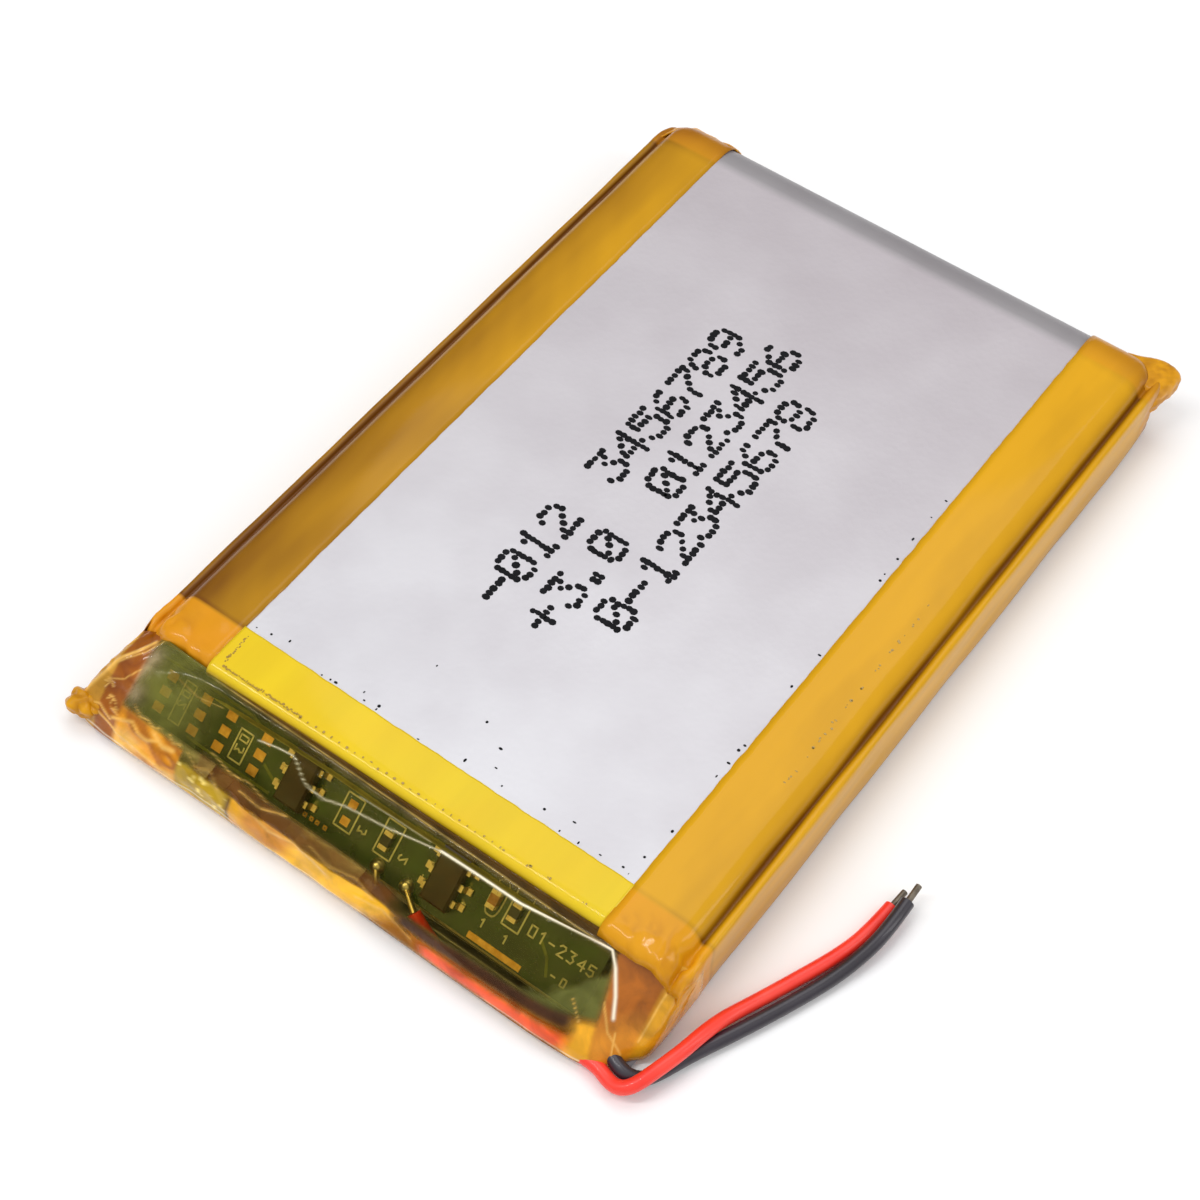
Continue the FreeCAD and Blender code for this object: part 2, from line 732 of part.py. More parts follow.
# ---------------------------------------------------------------- tapes

def side_path(side):
    """Outer face of a side tape: top face, cup edge, seal, bottom face."""
    inside = "(wing_outer - 2 * film)"
    path = [
        ("lap_x", "overall_height"),
        ("cup_half - 0.45 * cup_edge", "overall_height"),
        ("cup_half + 0.05", "overall_height - 0.56 * cup_edge"),
        ("cup_half + 0.13", "wing_height - 0.05"),
        (f"{inside} - 0.02", "wing_height + 0.12"),
        ("overall_width / 2", "wing_height + 0.10"),
        ("overall_width / 2", f"tape + wing_bend - {MITRE:.4f} * tape"),
        (f"wing_outer - wing_bend + {MITRE:.4f} * tape", "0"),
        ("lap_x", "0"),
    ]
    if side < 0:
        path = path[::-1]
    return [(f"{side} * ({across})", up) for across, up in path]


def tapes():
    """Side tapes over the folded seals and the front tape over the board and leads."""
    for label, side in (("right_side_tape", 1), ("left_side_tape", -1)):
        keep(strip(label, side_path(side), "tape", "Y", "cup_front", "far - 0.05"), label)
    front_path = (
        ("front + under_lap", "0"),
        ("front + 0.2", "0"),
        ("front", "0.25"),
        ("front", "1.0"),
        ("front + 0.85", "2.6"),
        ("front + 2.9", "overall_height - 0.7"),
        ("cup_front + 0.2", "overall_height"),
        ("cup_front + front_lap", "overall_height"),
    )
    band = strip("FrontBand", front_path, "tape", "X", "front_tape_left - overall_width / 2",
                 "overall_width / 2 - front_tape_right")
    corners = group("TapeCorners", [
        block("Corner", (left, "cup_front", "-1"), ("side_lap", "under_lap", "overall_height + 2"))
        for left in ("lap_x", "-overall_width / 2")
    ])
    keep(combine("Cut", "front_tape", band, corners), "front_tape")


# ---------------------------------------------------------------- assembly

pouch_cover()
pouch_cup()
wound_roll()
for name in ("positive", "negative"):
    tab(name + "_tab", name + "_tab_x")
    tab_sealant(name + "_tab_sealant", name + "_tab_x")
protection_board()
leads()
tapes()
document.recompute()

faults = [
    item.Label for item in document.Objects
    if "Invalid" in item.State or "Error" in item.State
]
for item in nodes:
    if item.Shape.isNull() or not item.Shape.isValid() or not item.Shape.Solids:
        faults.append(item.Label)
if faults:
    raise RuntimeError("these did not build: " + ", ".join(faults))

os.makedirs("parts", exist_ok=True)
for item in nodes:
    item.Shape.exportStep("parts/" + item.Label + ".step")
    box = item.Shape.BoundBox
    print(f"{item.Label}: {len(item.Shape.Solids)} solids, {item.Shape.Volume:.3f} mm3,",
          f"z {box.ZMin:.3f} to {box.ZMax:.3f}")
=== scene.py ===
# %% [markdown]
# # A pouch battery cell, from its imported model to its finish
# The cell is a flat lithium cell in a soft laminate pouch.  Its edges are wrapped in amber
# polyimide tape, a small protection board lies in front of the pouch under more of that tape,
# and two thin leads come out at one corner.  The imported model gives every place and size, and
# this lesson gives each surface its real shape and finish.  Everything is in metres in the
# end, but the shapes are worked out in millimetres, because the cell is only 50 mm long.

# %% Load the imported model
import math
import bpy
import numpy as np
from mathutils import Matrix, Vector


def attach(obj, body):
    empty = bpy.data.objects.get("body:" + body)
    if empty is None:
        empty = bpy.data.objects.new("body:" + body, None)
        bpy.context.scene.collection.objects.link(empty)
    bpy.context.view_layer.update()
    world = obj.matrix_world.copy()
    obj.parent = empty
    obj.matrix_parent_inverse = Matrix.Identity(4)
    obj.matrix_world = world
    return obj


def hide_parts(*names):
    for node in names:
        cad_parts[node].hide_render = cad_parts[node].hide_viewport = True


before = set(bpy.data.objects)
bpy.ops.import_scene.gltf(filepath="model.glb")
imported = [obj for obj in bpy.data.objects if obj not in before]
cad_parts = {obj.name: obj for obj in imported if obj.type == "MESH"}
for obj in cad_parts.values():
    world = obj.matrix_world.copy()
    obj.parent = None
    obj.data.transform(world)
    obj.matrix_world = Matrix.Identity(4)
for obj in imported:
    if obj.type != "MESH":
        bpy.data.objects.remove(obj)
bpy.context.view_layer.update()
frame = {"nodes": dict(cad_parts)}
scene = bpy.context.scene
MM = 0.001

# %% [markdown]
# ## Camera
# A long lens looks down on the corner where the leads leave, so the face, the taped front end
# and the right side all show.  The standard view transform keeps the amber tape as saturated
# as it is to the eye.

# %% Camera
camera_data = bpy.data.cameras.new("camera")
camera_data.lens = 69.0
camera_data.sensor_width = 36.0
camera_data.clip_start = 0.005
camera = bpy.data.objects.new("camera", camera_data)
camera.location = (0.04170, -0.05987, 0.10214)
camera.rotation_euler = (math.radians(34.81), 0.0, math.radians(36.88))
scene.collection.objects.link(camera)
scene.camera = camera
scene.view_settings.view_transform = "Standard"
print("camera", tuple(camera.location))

# %% [markdown]
# ## Leads
# Each lead is a thin stranded wire in soft PVC or silicone insulation, 0.76 mm across.  It is
# soldered to the board, runs along the front edge under the tape, leaves at the corner and
# turns back beside the cell.  A NURBS spline of order 3 through a few control points gives the
# smooth line that a limp wire takes, and its bevel gives the insulation.

# %% Leads as smooth splines
RED_ROUTE = ((3.70, -24.28, 1.75), (5.00, -24.78, 0.95), (7.20, -24.84, 0.47), (11.40, -24.80, 0.46),
             (13.90, -24.84, 0.46), (15.30, -24.82, 0.48), (16.30, -25.20, 0.56), (16.95, -25.15, 0.80),
             (17.40, -24.72, 1.06), (17.75, -23.70, 1.18), (18.20, -22.10, 1.20), (18.42, -20.70, 1.08),
             (18.68, -19.30, 0.66), (19.30, -17.70, 0.39), (20.15, -15.70, 0.39), (21.15, -13.25, 0.39),
             (21.65, -11.40, 0.39), (21.80, -9.40, 0.39))
BLACK_ROUTE = ((1.30, -24.28, 1.75), (2.50, -24.35, 0.98), (4.30, -24.02, 0.69), (7.80, -24.00, 0.68),
               (11.50, -24.04, 0.68), (14.20, -24.00, 0.68), (15.50, -24.05, 0.69), (16.42, -24.44, 0.65),
               (17.25, -24.20, 0.42), (17.75, -23.40, 0.39), (18.42, -21.70, 0.39), (19.58, -19.30, 0.39),
               (20.72, -16.70, 0.39), (21.66, -14.30, 0.40), (22.24, -12.30, 0.72), (22.44, -10.70, 0.93),
               (22.40, -9.00, 0.95))
LEAD_DIAMETER = 0.76


def spline_object(name, route, diameter):
    """One open NURBS curve of order 3 whose control points are the route, with a round bevel."""
    data = bpy.data.curves.new(name, "CURVE")
    data.dimensions = "3D"
    data.resolution_u = 10
    data.bevel_depth = 1.0
    data.bevel_resolution = 6
    data.use_fill_caps = True
    line = data.splines.new("NURBS")
    line.points.add(len(route) - 1)
    points = np.ones((len(route), 4))
    points[:, :3] = np.array(route) * MM
    line.points.foreach_set("co", points.ravel())
    # The bevel is 1 and each point's radius is the tube's, because a curve's box counts the radius.
    line.points.foreach_set("radius", np.full(len(route), diameter / 2 * MM))
    line.order_u = 3
    line.use_endpoint_u = True
    piece = bpy.data.objects.new(name, data)
    scene.collection.objects.link(piece)
    return piece


def tell(piece, slot, *nodes):
    """Ride the piece on the only body and hide the imported parts it stands in for; slot is not used."""
    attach(piece, "root")
    if nodes:
        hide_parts(*nodes)
    return piece


red_lead = tell(spline_object("red_lead_wire", RED_ROUTE, LEAD_DIAMETER), "red_insulation", "red_lead")
black_lead = tell(spline_object("black_lead_wire", BLACK_ROUTE, LEAD_DIAMETER), "black_insulation",
                  "black_lead")
nodes = frame["nodes"]
print("leads", red_lead.name, black_lead.name)

# %% [markdown]
# ## Three helpers
# Colours are picked as the hex values of sRGB and turned to linear once.  One function adds a
# node with its settings and its links.  One function turns a grid of points, worked out by
# numpy as a function of two parameters, into a mesh.

# %% Helpers


def colour(hex_value):
    """sRGB hex to linear: c / 12.92 when dark, else ((c + 0.055) / 1.055) to the power 2.4."""
    parts = np.array([int(hex_value[k:k + 2], 16) / 255 for k in (1, 3, 5)])
    linear = np.where(parts <= 0.04045, parts / 12.92, ((parts + 0.055) / 1.055) ** 2.4)
    return (*linear.tolist(), 1.0)


def add(tree, kind, settings=None, links=None):
    """Add a node; settings are its properties or the values of its inputs, links feed its inputs."""
    node = tree.nodes.new(kind)
    for key, value in (settings or {}).items():
        if isinstance(key, str) and hasattr(node, key):
            setattr(node, key, value)
        else:
            node.inputs[key].default_value = value
    for key, source in (links or {}).items():
        tree.links.new(source, node.inputs[key])
    return node


def per(size):
    """The scale of a pattern whose features are size mm apart, for coordinates in metres."""
    return 1 / (size * MM)


def material(name):
    """An empty node tree with its output, and the Object coordinates that patterns read."""
    made = bpy.data.materials.new(name)
    made.use_nodes = True
    tree = made.node_tree
    tree.nodes.clear()
    output = add(tree, "ShaderNodeOutputMaterial")
    place = add(tree, "ShaderNodeTexCoord").outputs["Object"]
    return made, tree, output, place


def grid_piece(name, points, finish, close_u=False, flip=False):
    """points[i, j] is the surface at parameters (u_i, v_j) in mm; each four neighbours make a face."""
    rows, columns = points.shape[:2]
    index = np.arange(rows * columns).reshape(rows, columns)
    if close_u:
        index = np.vstack([index, index[:1]])
    faces = np.stack([index[:-1, :-1], index[1:, :-1], index[1:, 1:], index[:-1, 1:]], -1).reshape(-1, 4)
    if flip:
        faces = faces[:, ::-1]
    mesh = bpy.data.meshes.new(name)
    mesh.from_pydata((points.reshape(-1, 3) * MM).tolist(), [], faces.tolist())
    mesh.polygons.foreach_set("use_smooth", np.ones(len(faces), bool))
    mesh.materials.append(finish)
    piece = bpy.data.objects.new(name, mesh)
    scene.collection.objects.link(piece)
    print(name, "faces", len(faces))
    return piece


def mark(piece, name, values):
    """Store one number for each point of the mesh, for its material to read."""
    layer = piece.data.attributes.new(name, "FLOAT", "POINT")
    layer.data.foreach_set("value", np.asarray(values, dtype=np.float32).ravel())


def paint(piece, name, rgb):
    """Store one linear colour for each point of the mesh."""
    layer = piece.data.attributes.new(name, "FLOAT_COLOR", "POINT")
    flat = np.ones((rgb.reshape(-1, 3).shape[0], 4), np.float32)
    flat[:, :3] = np.clip(rgb.reshape(-1, 3), 0, 1)
    layer.data.foreach_set("color", flat.ravel())


def blend(under, over, share):
    """Lay one colour over another: under * (1 - share) + over * share, share for each point."""
    return under * (1 - share[..., None]) + np.array(colour(over)[:3]) * share[..., None]


def step(value, low, high):
    """0 below low, 1 above high, straight between them; low above high turns it round."""
    return np.clip((value - low) / (high - low), 0, 1)


def b_spline(count, samples, order=3):
    """Weights of a clamped B-spline: row s gives each control point's share at parameter s."""
    degree = order - 1
    knots = np.concatenate([np.zeros(degree), np.linspace(0, 1, count - degree + 1), np.ones(degree)])
    t = np.clip(np.linspace(0, 1, samples), 0, 1 - 1e-9)[:, None]
    weights = ((t >= knots[:-1]) & (t < knots[1:])).astype(float)
    for d in range(1, degree + 1):
        left = knots[d:-1] - knots[:-d - 1]
        right = knots[d + 1:] - knots[1:-d]
        a = np.where(left > 0, (t - knots[:-d - 1]) / np.where(left > 0, left, 1), 0)
        b = np.where(right > 0, (knots[d + 1:] - t) / np.where(right > 0, right, 1), 0)
        weights = a * weights[:, :-1] + b * weights[:, 1:]
    return weights


def spline_sheet(net, rows, columns):
    """A tensor B-spline: the control net's points, blended by weights along both directions."""
    net = np.asarray(net, float)
    return np.einsum("ri,ijk,cj->rck", b_spline(len(net), rows), net, b_spline(net.shape[1], columns))


def ripple(points, scale, seed, octaves=3):
    """Smooth noise in -1..1: a seeded sum of sine waves in random directions, finer each octave."""
    chance = np.random.default_rng(seed)
    total = np.zeros(points.shape[:-1])
    for octave in range(octaves):
        for wave in range(4):
            direction = chance.normal(size=3)
            direction *= 2 ** octave / scale / np.linalg.norm(direction)
            total += np.sin(points @ direction * 2 * np.pi + chance.uniform(0, 6.28)) / 2 ** octave / 4
    return total / 1.2


def sheet_normals(points):
    """Unit normals of a grid: the cross product of its two direction gradients."""
    du = np.gradient(points, axis=0)
    dv = np.gradient(points, axis=1)
    normal = np.cross(du, dv)
    return normal / np.maximum(np.linalg.norm(normal, axis=-1, keepdims=True), 1e-12)


print("blue of #336699 in linear", colour("#336699")[2])

# %% [markdown]
# ## Light and floor
# A pale floor and a surround that is bright overhead and dimmer towards the horizon give the
# soft light of a product table.  One large
# softbox stands high at the back left, where the flat faces mirror it, so the near part of
# the face is lighter than the far part; the laminate's colour has that fall painted in as shade
# too.  Two narrow strips give the sharp lines along creases of the glossy tape, and on the film
# over the board such lines are painted in as highlights as well.

# %% Light and floor
world = bpy.data.worlds.new("bright_surround")
world.use_nodes = True
sky = world.node_tree
sky.nodes["Background"].inputs["Color"].default_value = colour("#F6F6F7")
toward = add(sky, "ShaderNodeTexCoord")
lean = add(sky, "ShaderNodeVectorMath", {"operation": "DOT_PRODUCT", 1: (0.25, -0.30, 0.92)},
           {0: toward.outputs["Generated"]})
rise = add(sky, "ShaderNodeMapRange", {"From Min": -0.1, "From Max": 0.85, "To Min": 0.22, "To Max": 0.92},
           {"Value": lean.outputs["Value"]})
sky.links.new(rise.outputs[0], sky.nodes["Background"].inputs["Strength"])
scene.world = world


def area_light(name, place, aim, size, power, shade="#FFFFFF"):
    """A rectangular light at place (mm) that looks at aim (mm), with its size in mm and power in W."""
    data = bpy.data.lights.new(name, "AREA")
    data.shape = "RECTANGLE"
    data.size, data.size_y = size[0] * MM, size[1] * MM
    data.energy = power
    data.color = colour(shade)[:3]
    lamp = bpy.data.objects.new(name, data)
    direction = np.array(place, float) - np.array(aim, float)
    lamp.location = np.array(place) * MM
    lamp.rotation_mode = "QUATERNION"
    lamp.rotation_quaternion = Vector(direction).to_track_quat("Z", "Y")
    scene.collection.objects.link(lamp)
    return lamp


area_light("softbox_back", (-50, 120, 300), (0, 0, 3), (200, 180), 0.20)
area_light("strip_front_left", (-95, -105, 270), (5, -20, 3), (14, 240), 0.26)
area_light("strip_right", (190, 60, 150), (16, 0, 3), (30, 200), 0.08)

floor_finish, tree, output, place = material("matt_paper_floor")
shader = add(tree, "ShaderNodeBsdfPrincipled", {"Base Color": colour("#FBFBFB"), "Roughness": 0.9})
tree.links.new(shader.outputs[0], output.inputs[0])
floor = grid_piece("floor", np.stack(np.meshgrid([-900.0, 900.0], [-900.0, 900.0], [-0.08], indexing="ij"),
                                     -1)[:, :, 0], floor_finish)

# %% [markdown]
# ## Finishes: laminate and tape
# The pouch is aluminium foil between nylon outside and polypropylene inside.  The nylon is
# matt-embossed, so the foil looks like pale grey metal through frosted glass: metallic at 0.35,
# rough, with a fine pimple every 0.35 mm and slow cloudy changes of 6 mm.
# The tape is polyimide film with silicone adhesive: amber, smooth and glossy.  On the pouch it
# looks golden because the foil behind it sends light back through it.  Where it lies double it
# is deeper and more orange.

# %% Laminate
laminate, tree, output, place = material("nylon_faced_aluminium_laminate")
cloud = add(tree, "ShaderNodeTexNoise", {"Scale": per(6.0), "Detail": 3.0, "Roughness": 0.5}, {"Vector": place})
# Painted shade: the face's colour runs from pale grey at the near end to darker at the far end, darkest over the
# folded far end, in place of the dimmer light those parts get.
split = add(tree, "ShaderNodeSeparateXYZ", links={"Vector": place})
along = add(tree, "ShaderNodeMapRange", {"From Min": -0.018, "From Max": 0.024}, {"Value": split.outputs["Y"]})
shade = add(tree, "ShaderNodeValToRGB", links={"Fac": along.outputs["Result"]})
shade.color_ramp.elements[0].color = colour("#D6D5D9")
shade.color_ramp.elements[1].color = colour("#A09C9E")
bend = shade.color_ramp.elements.new(0.985)
bend.color = colour("#BFB8BC")
blotch = add(tree, "ShaderNodeValToRGB", links={"Fac": cloud.outputs["Fac"]})
blotch.color_ramp.elements[0].position, blotch.color_ramp.elements[1].position = 0.35, 0.68
blotch.color_ramp.elements[0].color = colour("#F1EFF0")
blotch.color_ramp.elements[1].color = colour("#FFFFFF")
tone = add(tree, "ShaderNodeMix", {"data_type": "RGBA", "blend_type": "MULTIPLY", 0: 0.8},
           {6: shade.outputs["Color"], 7: blotch.outputs["Color"]})
# Real emboss is about 0.1 mm apart; 0.35 mm is as fine as shows.
pimples = add(tree, "ShaderNodeTexVoronoi", {"Scale": per(0.35)}, {"Vector": place})
grain = add(tree, "ShaderNodeTexNoise", {"Scale": per(1.1), "Detail": 4.0}, {"Vector": place})
both = add(tree, "ShaderNodeMath", {"operation": "ADD"},
           {0: pimples.outputs["Distance"], 1: grain.outputs["Fac"]})
bump = add(tree, "ShaderNodeBump", {"Strength": 0.22, "Distance": 0.00003}, {"Height": both.outputs[0]})
shader = add(tree, "ShaderNodeBsdfPrincipled", {"Metallic": 0.35, "Roughness": 0.5, "Coat Weight": 0.12,
                                               "Coat Roughness": 0.3},
             {"Base Color": tone.outputs[2], "Normal": bump.outputs[0]})
tree.links.new(shader.outputs[0], output.inputs[0])


# %% Polyimide tape on a bright backing
def backed_tape(name, pale, shaded, double):
    """Polyimide tape on foil: golden, glossy, painted darker towards a shaded tone by a point attribute
    that carries painted shade and random mottle, and orange where the attribute layers is high;
    tiny streaks run along the film every 2 mm."""
    made, tree, output, place = material(name)
    painted_shade_and_mottle = add(tree, "ShaderNodeAttribute", {"attribute_name": "painted_shade_and_mottle"})
    layers = add(tree, "ShaderNodeAttribute", {"attribute_name": "layers"})
    stretched = add(tree, "ShaderNodeMapping", {"Scale": (per(2.0), per(16.0), per(2.0))}, {"Vector": place})
    streak = add(tree, "ShaderNodeTexNoise", {"Scale": 1.0, "Detail": 3.0}, {"Vector": stretched.outputs[0]})
    # Painted shade: the colour runs from pale to the shaded tone as the point attribute rises.
    single = add(tree, "ShaderNodeMix", {"data_type": "RGBA", 6: colour(pale), 7: colour(shaded)},
                 {0: painted_shade_and_mottle.outputs["Fac"]})
    stacked = add(tree, "ShaderNodeMix", {"data_type": "RGBA", 7: colour(double)},
                  {0: layers.outputs["Fac"], 6: single.outputs[2]})
    streaked = add(tree, "ShaderNodeMapRange", {"From Min": 0.3, "From Max": 0.7, "To Min": 0.95, "To Max": 1.03},
                   {"Value": streak.outputs["Fac"]})
    grey = add(tree, "ShaderNodeCombineXYZ", links={k: streaked.outputs[0] for k in range(3)})
    tone = add(tree, "ShaderNodeMix", {"data_type": "RGBA", "blend_type": "MULTIPLY", 0: 1.0},
               {6: stacked.outputs[2], 7: grey.outputs[0]})
    wave = add(tree, "ShaderNodeTexNoise", {"Scale": per(2.4), "Detail": 2.0}, {"Vector": place})
    bump = add(tree, "ShaderNodeBump", {"Strength": 0.12, "Distance": 0.0001}, {"Height": wave.outputs["Fac"]})
    shader = add(tree, "ShaderNodeBsdfPrincipled", {"Roughness": 0.34, "Specular IOR Level": 0.10,
                                                   "Coat Weight": 0.25, "Coat Roughness": 0.07},
                 {"Base Color": tone.outputs[2], "Normal": bump.outputs[0]})
    tree.links.new(shader.outputs[0], output.inputs[0])
    return made


side_finish = backed_tape("polyimide_tape_on_foil", "#DCA210", "#6E3E02", "#E29414")
strip_finish = backed_tape("polyimide_tape_single_on_foil", "#E6C81C", "#8A6A10", "#E6A21E")


# %% Polyimide film with nothing bright behind it
def clear_tape(name, tint):
    """Polyimide film seen through: light that passes takes its tint.  The point attribute body is
    the colour of its adhesive and of what touches it from behind, with some painted shade and
    highlight laid in, cover how much of that shows, and a third attribute paints a pale highlight
    along the film's folds."""
    made, tree, output, place = material(name)
    body = add(tree, "ShaderNodeAttribute", {"attribute_name": "body"})
    cover = add(tree, "ShaderNodeAttribute", {"attribute_name": "cover"})
    painted_crease_highlight = add(tree, "ShaderNodeAttribute", {"attribute_name": "painted_crease_highlight"})
    patchy = add(tree, "ShaderNodeTexNoise", {"Scale": per(1.5), "Detail": 4.0, "Distortion": 0.8},
                 {"Vector": place})
    uneven = add(tree, "ShaderNodeMapRange", {"From Min": 0.3, "From Max": 0.7, "To Min": 0.72,
                                              "To Max": 1.18}, {"Value": patchy.outputs["Fac"]})
    grey = add(tree, "ShaderNodeCombineXYZ", links={k: uneven.outputs[0] for k in range(3)})
    toned = add(tree, "ShaderNodeMix", {"data_type": "RGBA", "blend_type": "MULTIPLY", 0: 1.0},
                {6: body.outputs["Color"], 7: grey.outputs[0]})
    # Painted highlight: the film turns pale cream along its folds, where the third attribute is high.
    pale = add(tree, "ShaderNodeMix", {"data_type": "RGBA", 7: colour("#FFF6DA")},
               {0: painted_crease_highlight.outputs["Fac"], 6: toned.outputs[2]})
    wave = add(tree, "ShaderNodeTexNoise", {"Scale": per(1.3), "Detail": 3.0}, {"Vector": place})
    bump = add(tree, "ShaderNodeBump", {"Strength": 0.45, "Distance": 0.00015}, {"Height": wave.outputs["Fac"]})
    solid = add(tree, "ShaderNodeBsdfPrincipled", {"Roughness": 0.22, "Specular IOR Level": 0.15,
                                                  "Coat Weight": 0.5, "Coat Roughness": 0.04},
                {"Base Color": pale.outputs[2], "Normal": bump.outputs[0]})
    through = add(tree, "ShaderNodeBsdfTransparent", {"Color": colour(tint)})
    cloudy = add(tree, "ShaderNodeMath", {"operation": "MULTIPLY"},
                 {0: cover.outputs["Fac"], 1: uneven.outputs[0]})
    mirror = add(tree, "ShaderNodeFresnel", {"IOR": 1.35}, {"Normal": bump.outputs[0]})
    share = add(tree, "ShaderNodeMath", {"operation": "MAXIMUM"},
                {0: cloudy.outputs[0], 1: mirror.outputs[0]})
    share = add(tree, "ShaderNodeMath", {"operation": "MAXIMUM", "use_clamp": True},
                {0: share.outputs[0], 1: painted_crease_highlight.outputs["Fac"]})
    film = add(tree, "ShaderNodeMixShader", links={0: share.outputs[0], 1: through.outputs[0],
                                                   2: solid.outputs[0]})
    tree.links.new(film.outputs[0], output.inputs[0])
    return made


film_finish = clear_tape("polyimide_film_over_board", "#FEF6D2")
print("finishes", laminate.name, side_finish.name, film_finish.name)

# %% [markdown]
# ## The silver face and the folded end
# The laminate is pressed into a shallow cup and folded over at the far end, so the face runs
# over a soft round edge there.  It is a sheet carried along a path: flat from under the front
# tape to the fold, then half a superellipse down to the floor side.  The face itself is not
# quite flat: the wound roll inside shows as a dip or swell of a few hundredths of a millimetre.

# %% Face
FACE_TOP = 4.95
FOLD_START, FOLD_REACH, FOLD_POWER = 23.6, 2.6, 2.4


def fold(t, half_height):
    """Superellipse quarter turn: t 0..1 goes from level top to the far tip at mid height."""
    angle = t * np.pi / 2
    return np.sin(angle) ** (2 / FOLD_POWER), half_height * np.cos(angle) ** (2 / FOLD_POWER)


def face_sheet():
    """x across, then y and z along the path: level, over the fold and down to the underside."""
    x = np.linspace(-13.0, 13.0, 90)
    level = np.linspace(-19.0, FOLD_START, 130, endpoint=False)
    out, high = fold(np.linspace(0.0, 1.0, 26), FACE_TOP / 2)
    y = np.concatenate([level, FOLD_START + out * FOLD_REACH, FOLD_START + (out * FOLD_REACH)[-2::-1]])
    z = np.concatenate([np.full(130, FACE_TOP), FACE_TOP / 2 + high, FACE_TOP / 2 - high[-2::-1]]) + 0.02
    grid = np.stack(np.broadcast_arrays(x[:, None], y[None, :], z[None, :]), -1).copy()
    dips = ripple(grid * (1, 1, 0), 17.0, 4, 3) * 0.028
    top = np.clip((grid[..., 2] - 4.0) / 0.9, 0, 1)
    grid[..., 2] += dips * top - 0.012 * top
    return grid


face = tell(grid_piece("silver_face", face_sheet(), laminate), "laminate")
print("face top", face_sheet()[..., 2].max())

# %% [markdown]
# ## The cup and its folded seals
# Under the face the laminate goes over a round edge and down the cup's walls to a flat sealed
# rim.  The rim stays flat in front, as the terrace that carries the board, and is folded up
# along both sides.  The cup is one ring-shaped surface: one parameter goes round a rectangle
# with round corners, the other goes in from the rim, up the wall and over the edge.

# %% Cup
CUP_X, CUP_FRONT, CUP_FAR, CUP_CORNER, CUP_EDGE = 16.3, -20.5, 24.9, 1.5, 1.1


def ring(grow_x, grow_front, grow_far, corner, samples=240):
    """A rounded rectangle: a superellipse direction pushed out to straight sides and round corners."""
    turn = np.linspace(0, 2 * np.pi, samples, endpoint=False)
    half_x, half_y = CUP_X + grow_x, (CUP_FAR - CUP_FRONT + grow_front + grow_far) / 2
    middle = (CUP_FAR + CUP_FRONT + grow_far - grow_front) / 2
    c, s = np.cos(turn), np.sin(turn)
    c, s = np.sign(c) * np.abs(c) ** 0.5, np.sign(s) * np.abs(s) ** 0.5
    reach = 1 / np.maximum(np.abs(c), np.abs(s))
    flat = np.stack([c * reach * (half_x - corner), s * reach * (half_y - corner)], -1)
    length = np.maximum(np.hypot(c, s), 1e-9)
    out = np.stack([c, s], -1) / length[:, None]
    edge = np.maximum(np.abs(out), 1e-9) ** 6
    out = np.sign(out) * edge / np.linalg.norm(edge, axis=1, keepdims=True)
    return flat + out * corner + (0, middle)


def cup_sheet():
    """Rings from the middle of the underside out to the rim, in to the wall, up it, over the edge
    and in to the middle of the top; each step is how far it grows, its corner and its height."""
    turn = np.linspace(0, np.pi / 2, 8)
    steps = [(-4.0, -4.0, -4.0, 1.0, 0.08), (0.2, 3.7, 0.1, 0.5, 0.08), (0.35, 3.7, 0.2, 0.5, 0.26),
             (0.1, 0.1, 0.1, 1.5, 0.28)]
    steps += [(0.0, 0.0, 0.0, 1.5, z) for z in (0.5, 1.5, 2.5, 3.4)]
    steps += [(-CUP_EDGE * (1 - math.cos(a)), -CUP_EDGE * (1 - math.cos(a)), -CUP_EDGE * (1 - math.cos(a)),
               1.5, 4.92 - CUP_EDGE * (1 - math.sin(a))) for a in turn]
    steps += [(-4.0, -4.0, -4.0, 1.0, 4.92)]
    rings = [np.column_stack([ring(*step[:4]), np.full(240, step[4])]) for step in steps]
    middle = np.array([0.0, (CUP_FRONT + CUP_FAR) / 2, 0.0])
    low, high = np.tile(middle + (0, 0, 0.08), (240, 1)), np.tile(middle + (0, 0, 4.92), (240, 1))
    return np.stack([low] + rings + [high], 1)


cup = tell(grid_piece("pressed_pouch", cup_sheet(), laminate, close_u=True), "laminate", "pouch_cup",
           "pouch_cover")
SEAL = np.array([(16.40, 0.24), (16.66, 0.24), (16.80, 0.44), (16.85, 0.90), (16.86, 2.5), (16.85, 3.83),
                 (16.79, 3.95), (16.68, 3.88), (16.66, 3.0), (16.66, 0.6)])
for label, side in (("left", -1), ("right", 1)):
    along_y = np.linspace(-19.3, 23.8, 60)
    section = b_spline(len(SEAL), 30) @ SEAL
    grid = np.empty((60, 30, 3))
    grid[..., 0], grid[..., 1], grid[..., 2] = section[:, 0] * side, along_y[:, None], section[:, 1]
    tell(grid_piece(f"folded_seal_{label}", grid, laminate, flip=side < 0), "laminate")

# %% [markdown]
# ## Side tapes
# A long tape wraps each side: from the face, over the shoulder of the cup, down into the
# valley beside it, over the top of the sealed edge that is folded up along the cup, and down to
# the underside.  The section is carried along the side, and at the folded end it shrinks
# towards the corner as one end of a superellipse, which closes it as tape pulled round a
# corner does.  Shade is painted into its colour: each section point has its own share, so the
# valley and the underside are painted dark, and the tape is painted darker where it turns down
# at the front, over the far end, on the outer shoulders and in the pleats of its tucked front end.

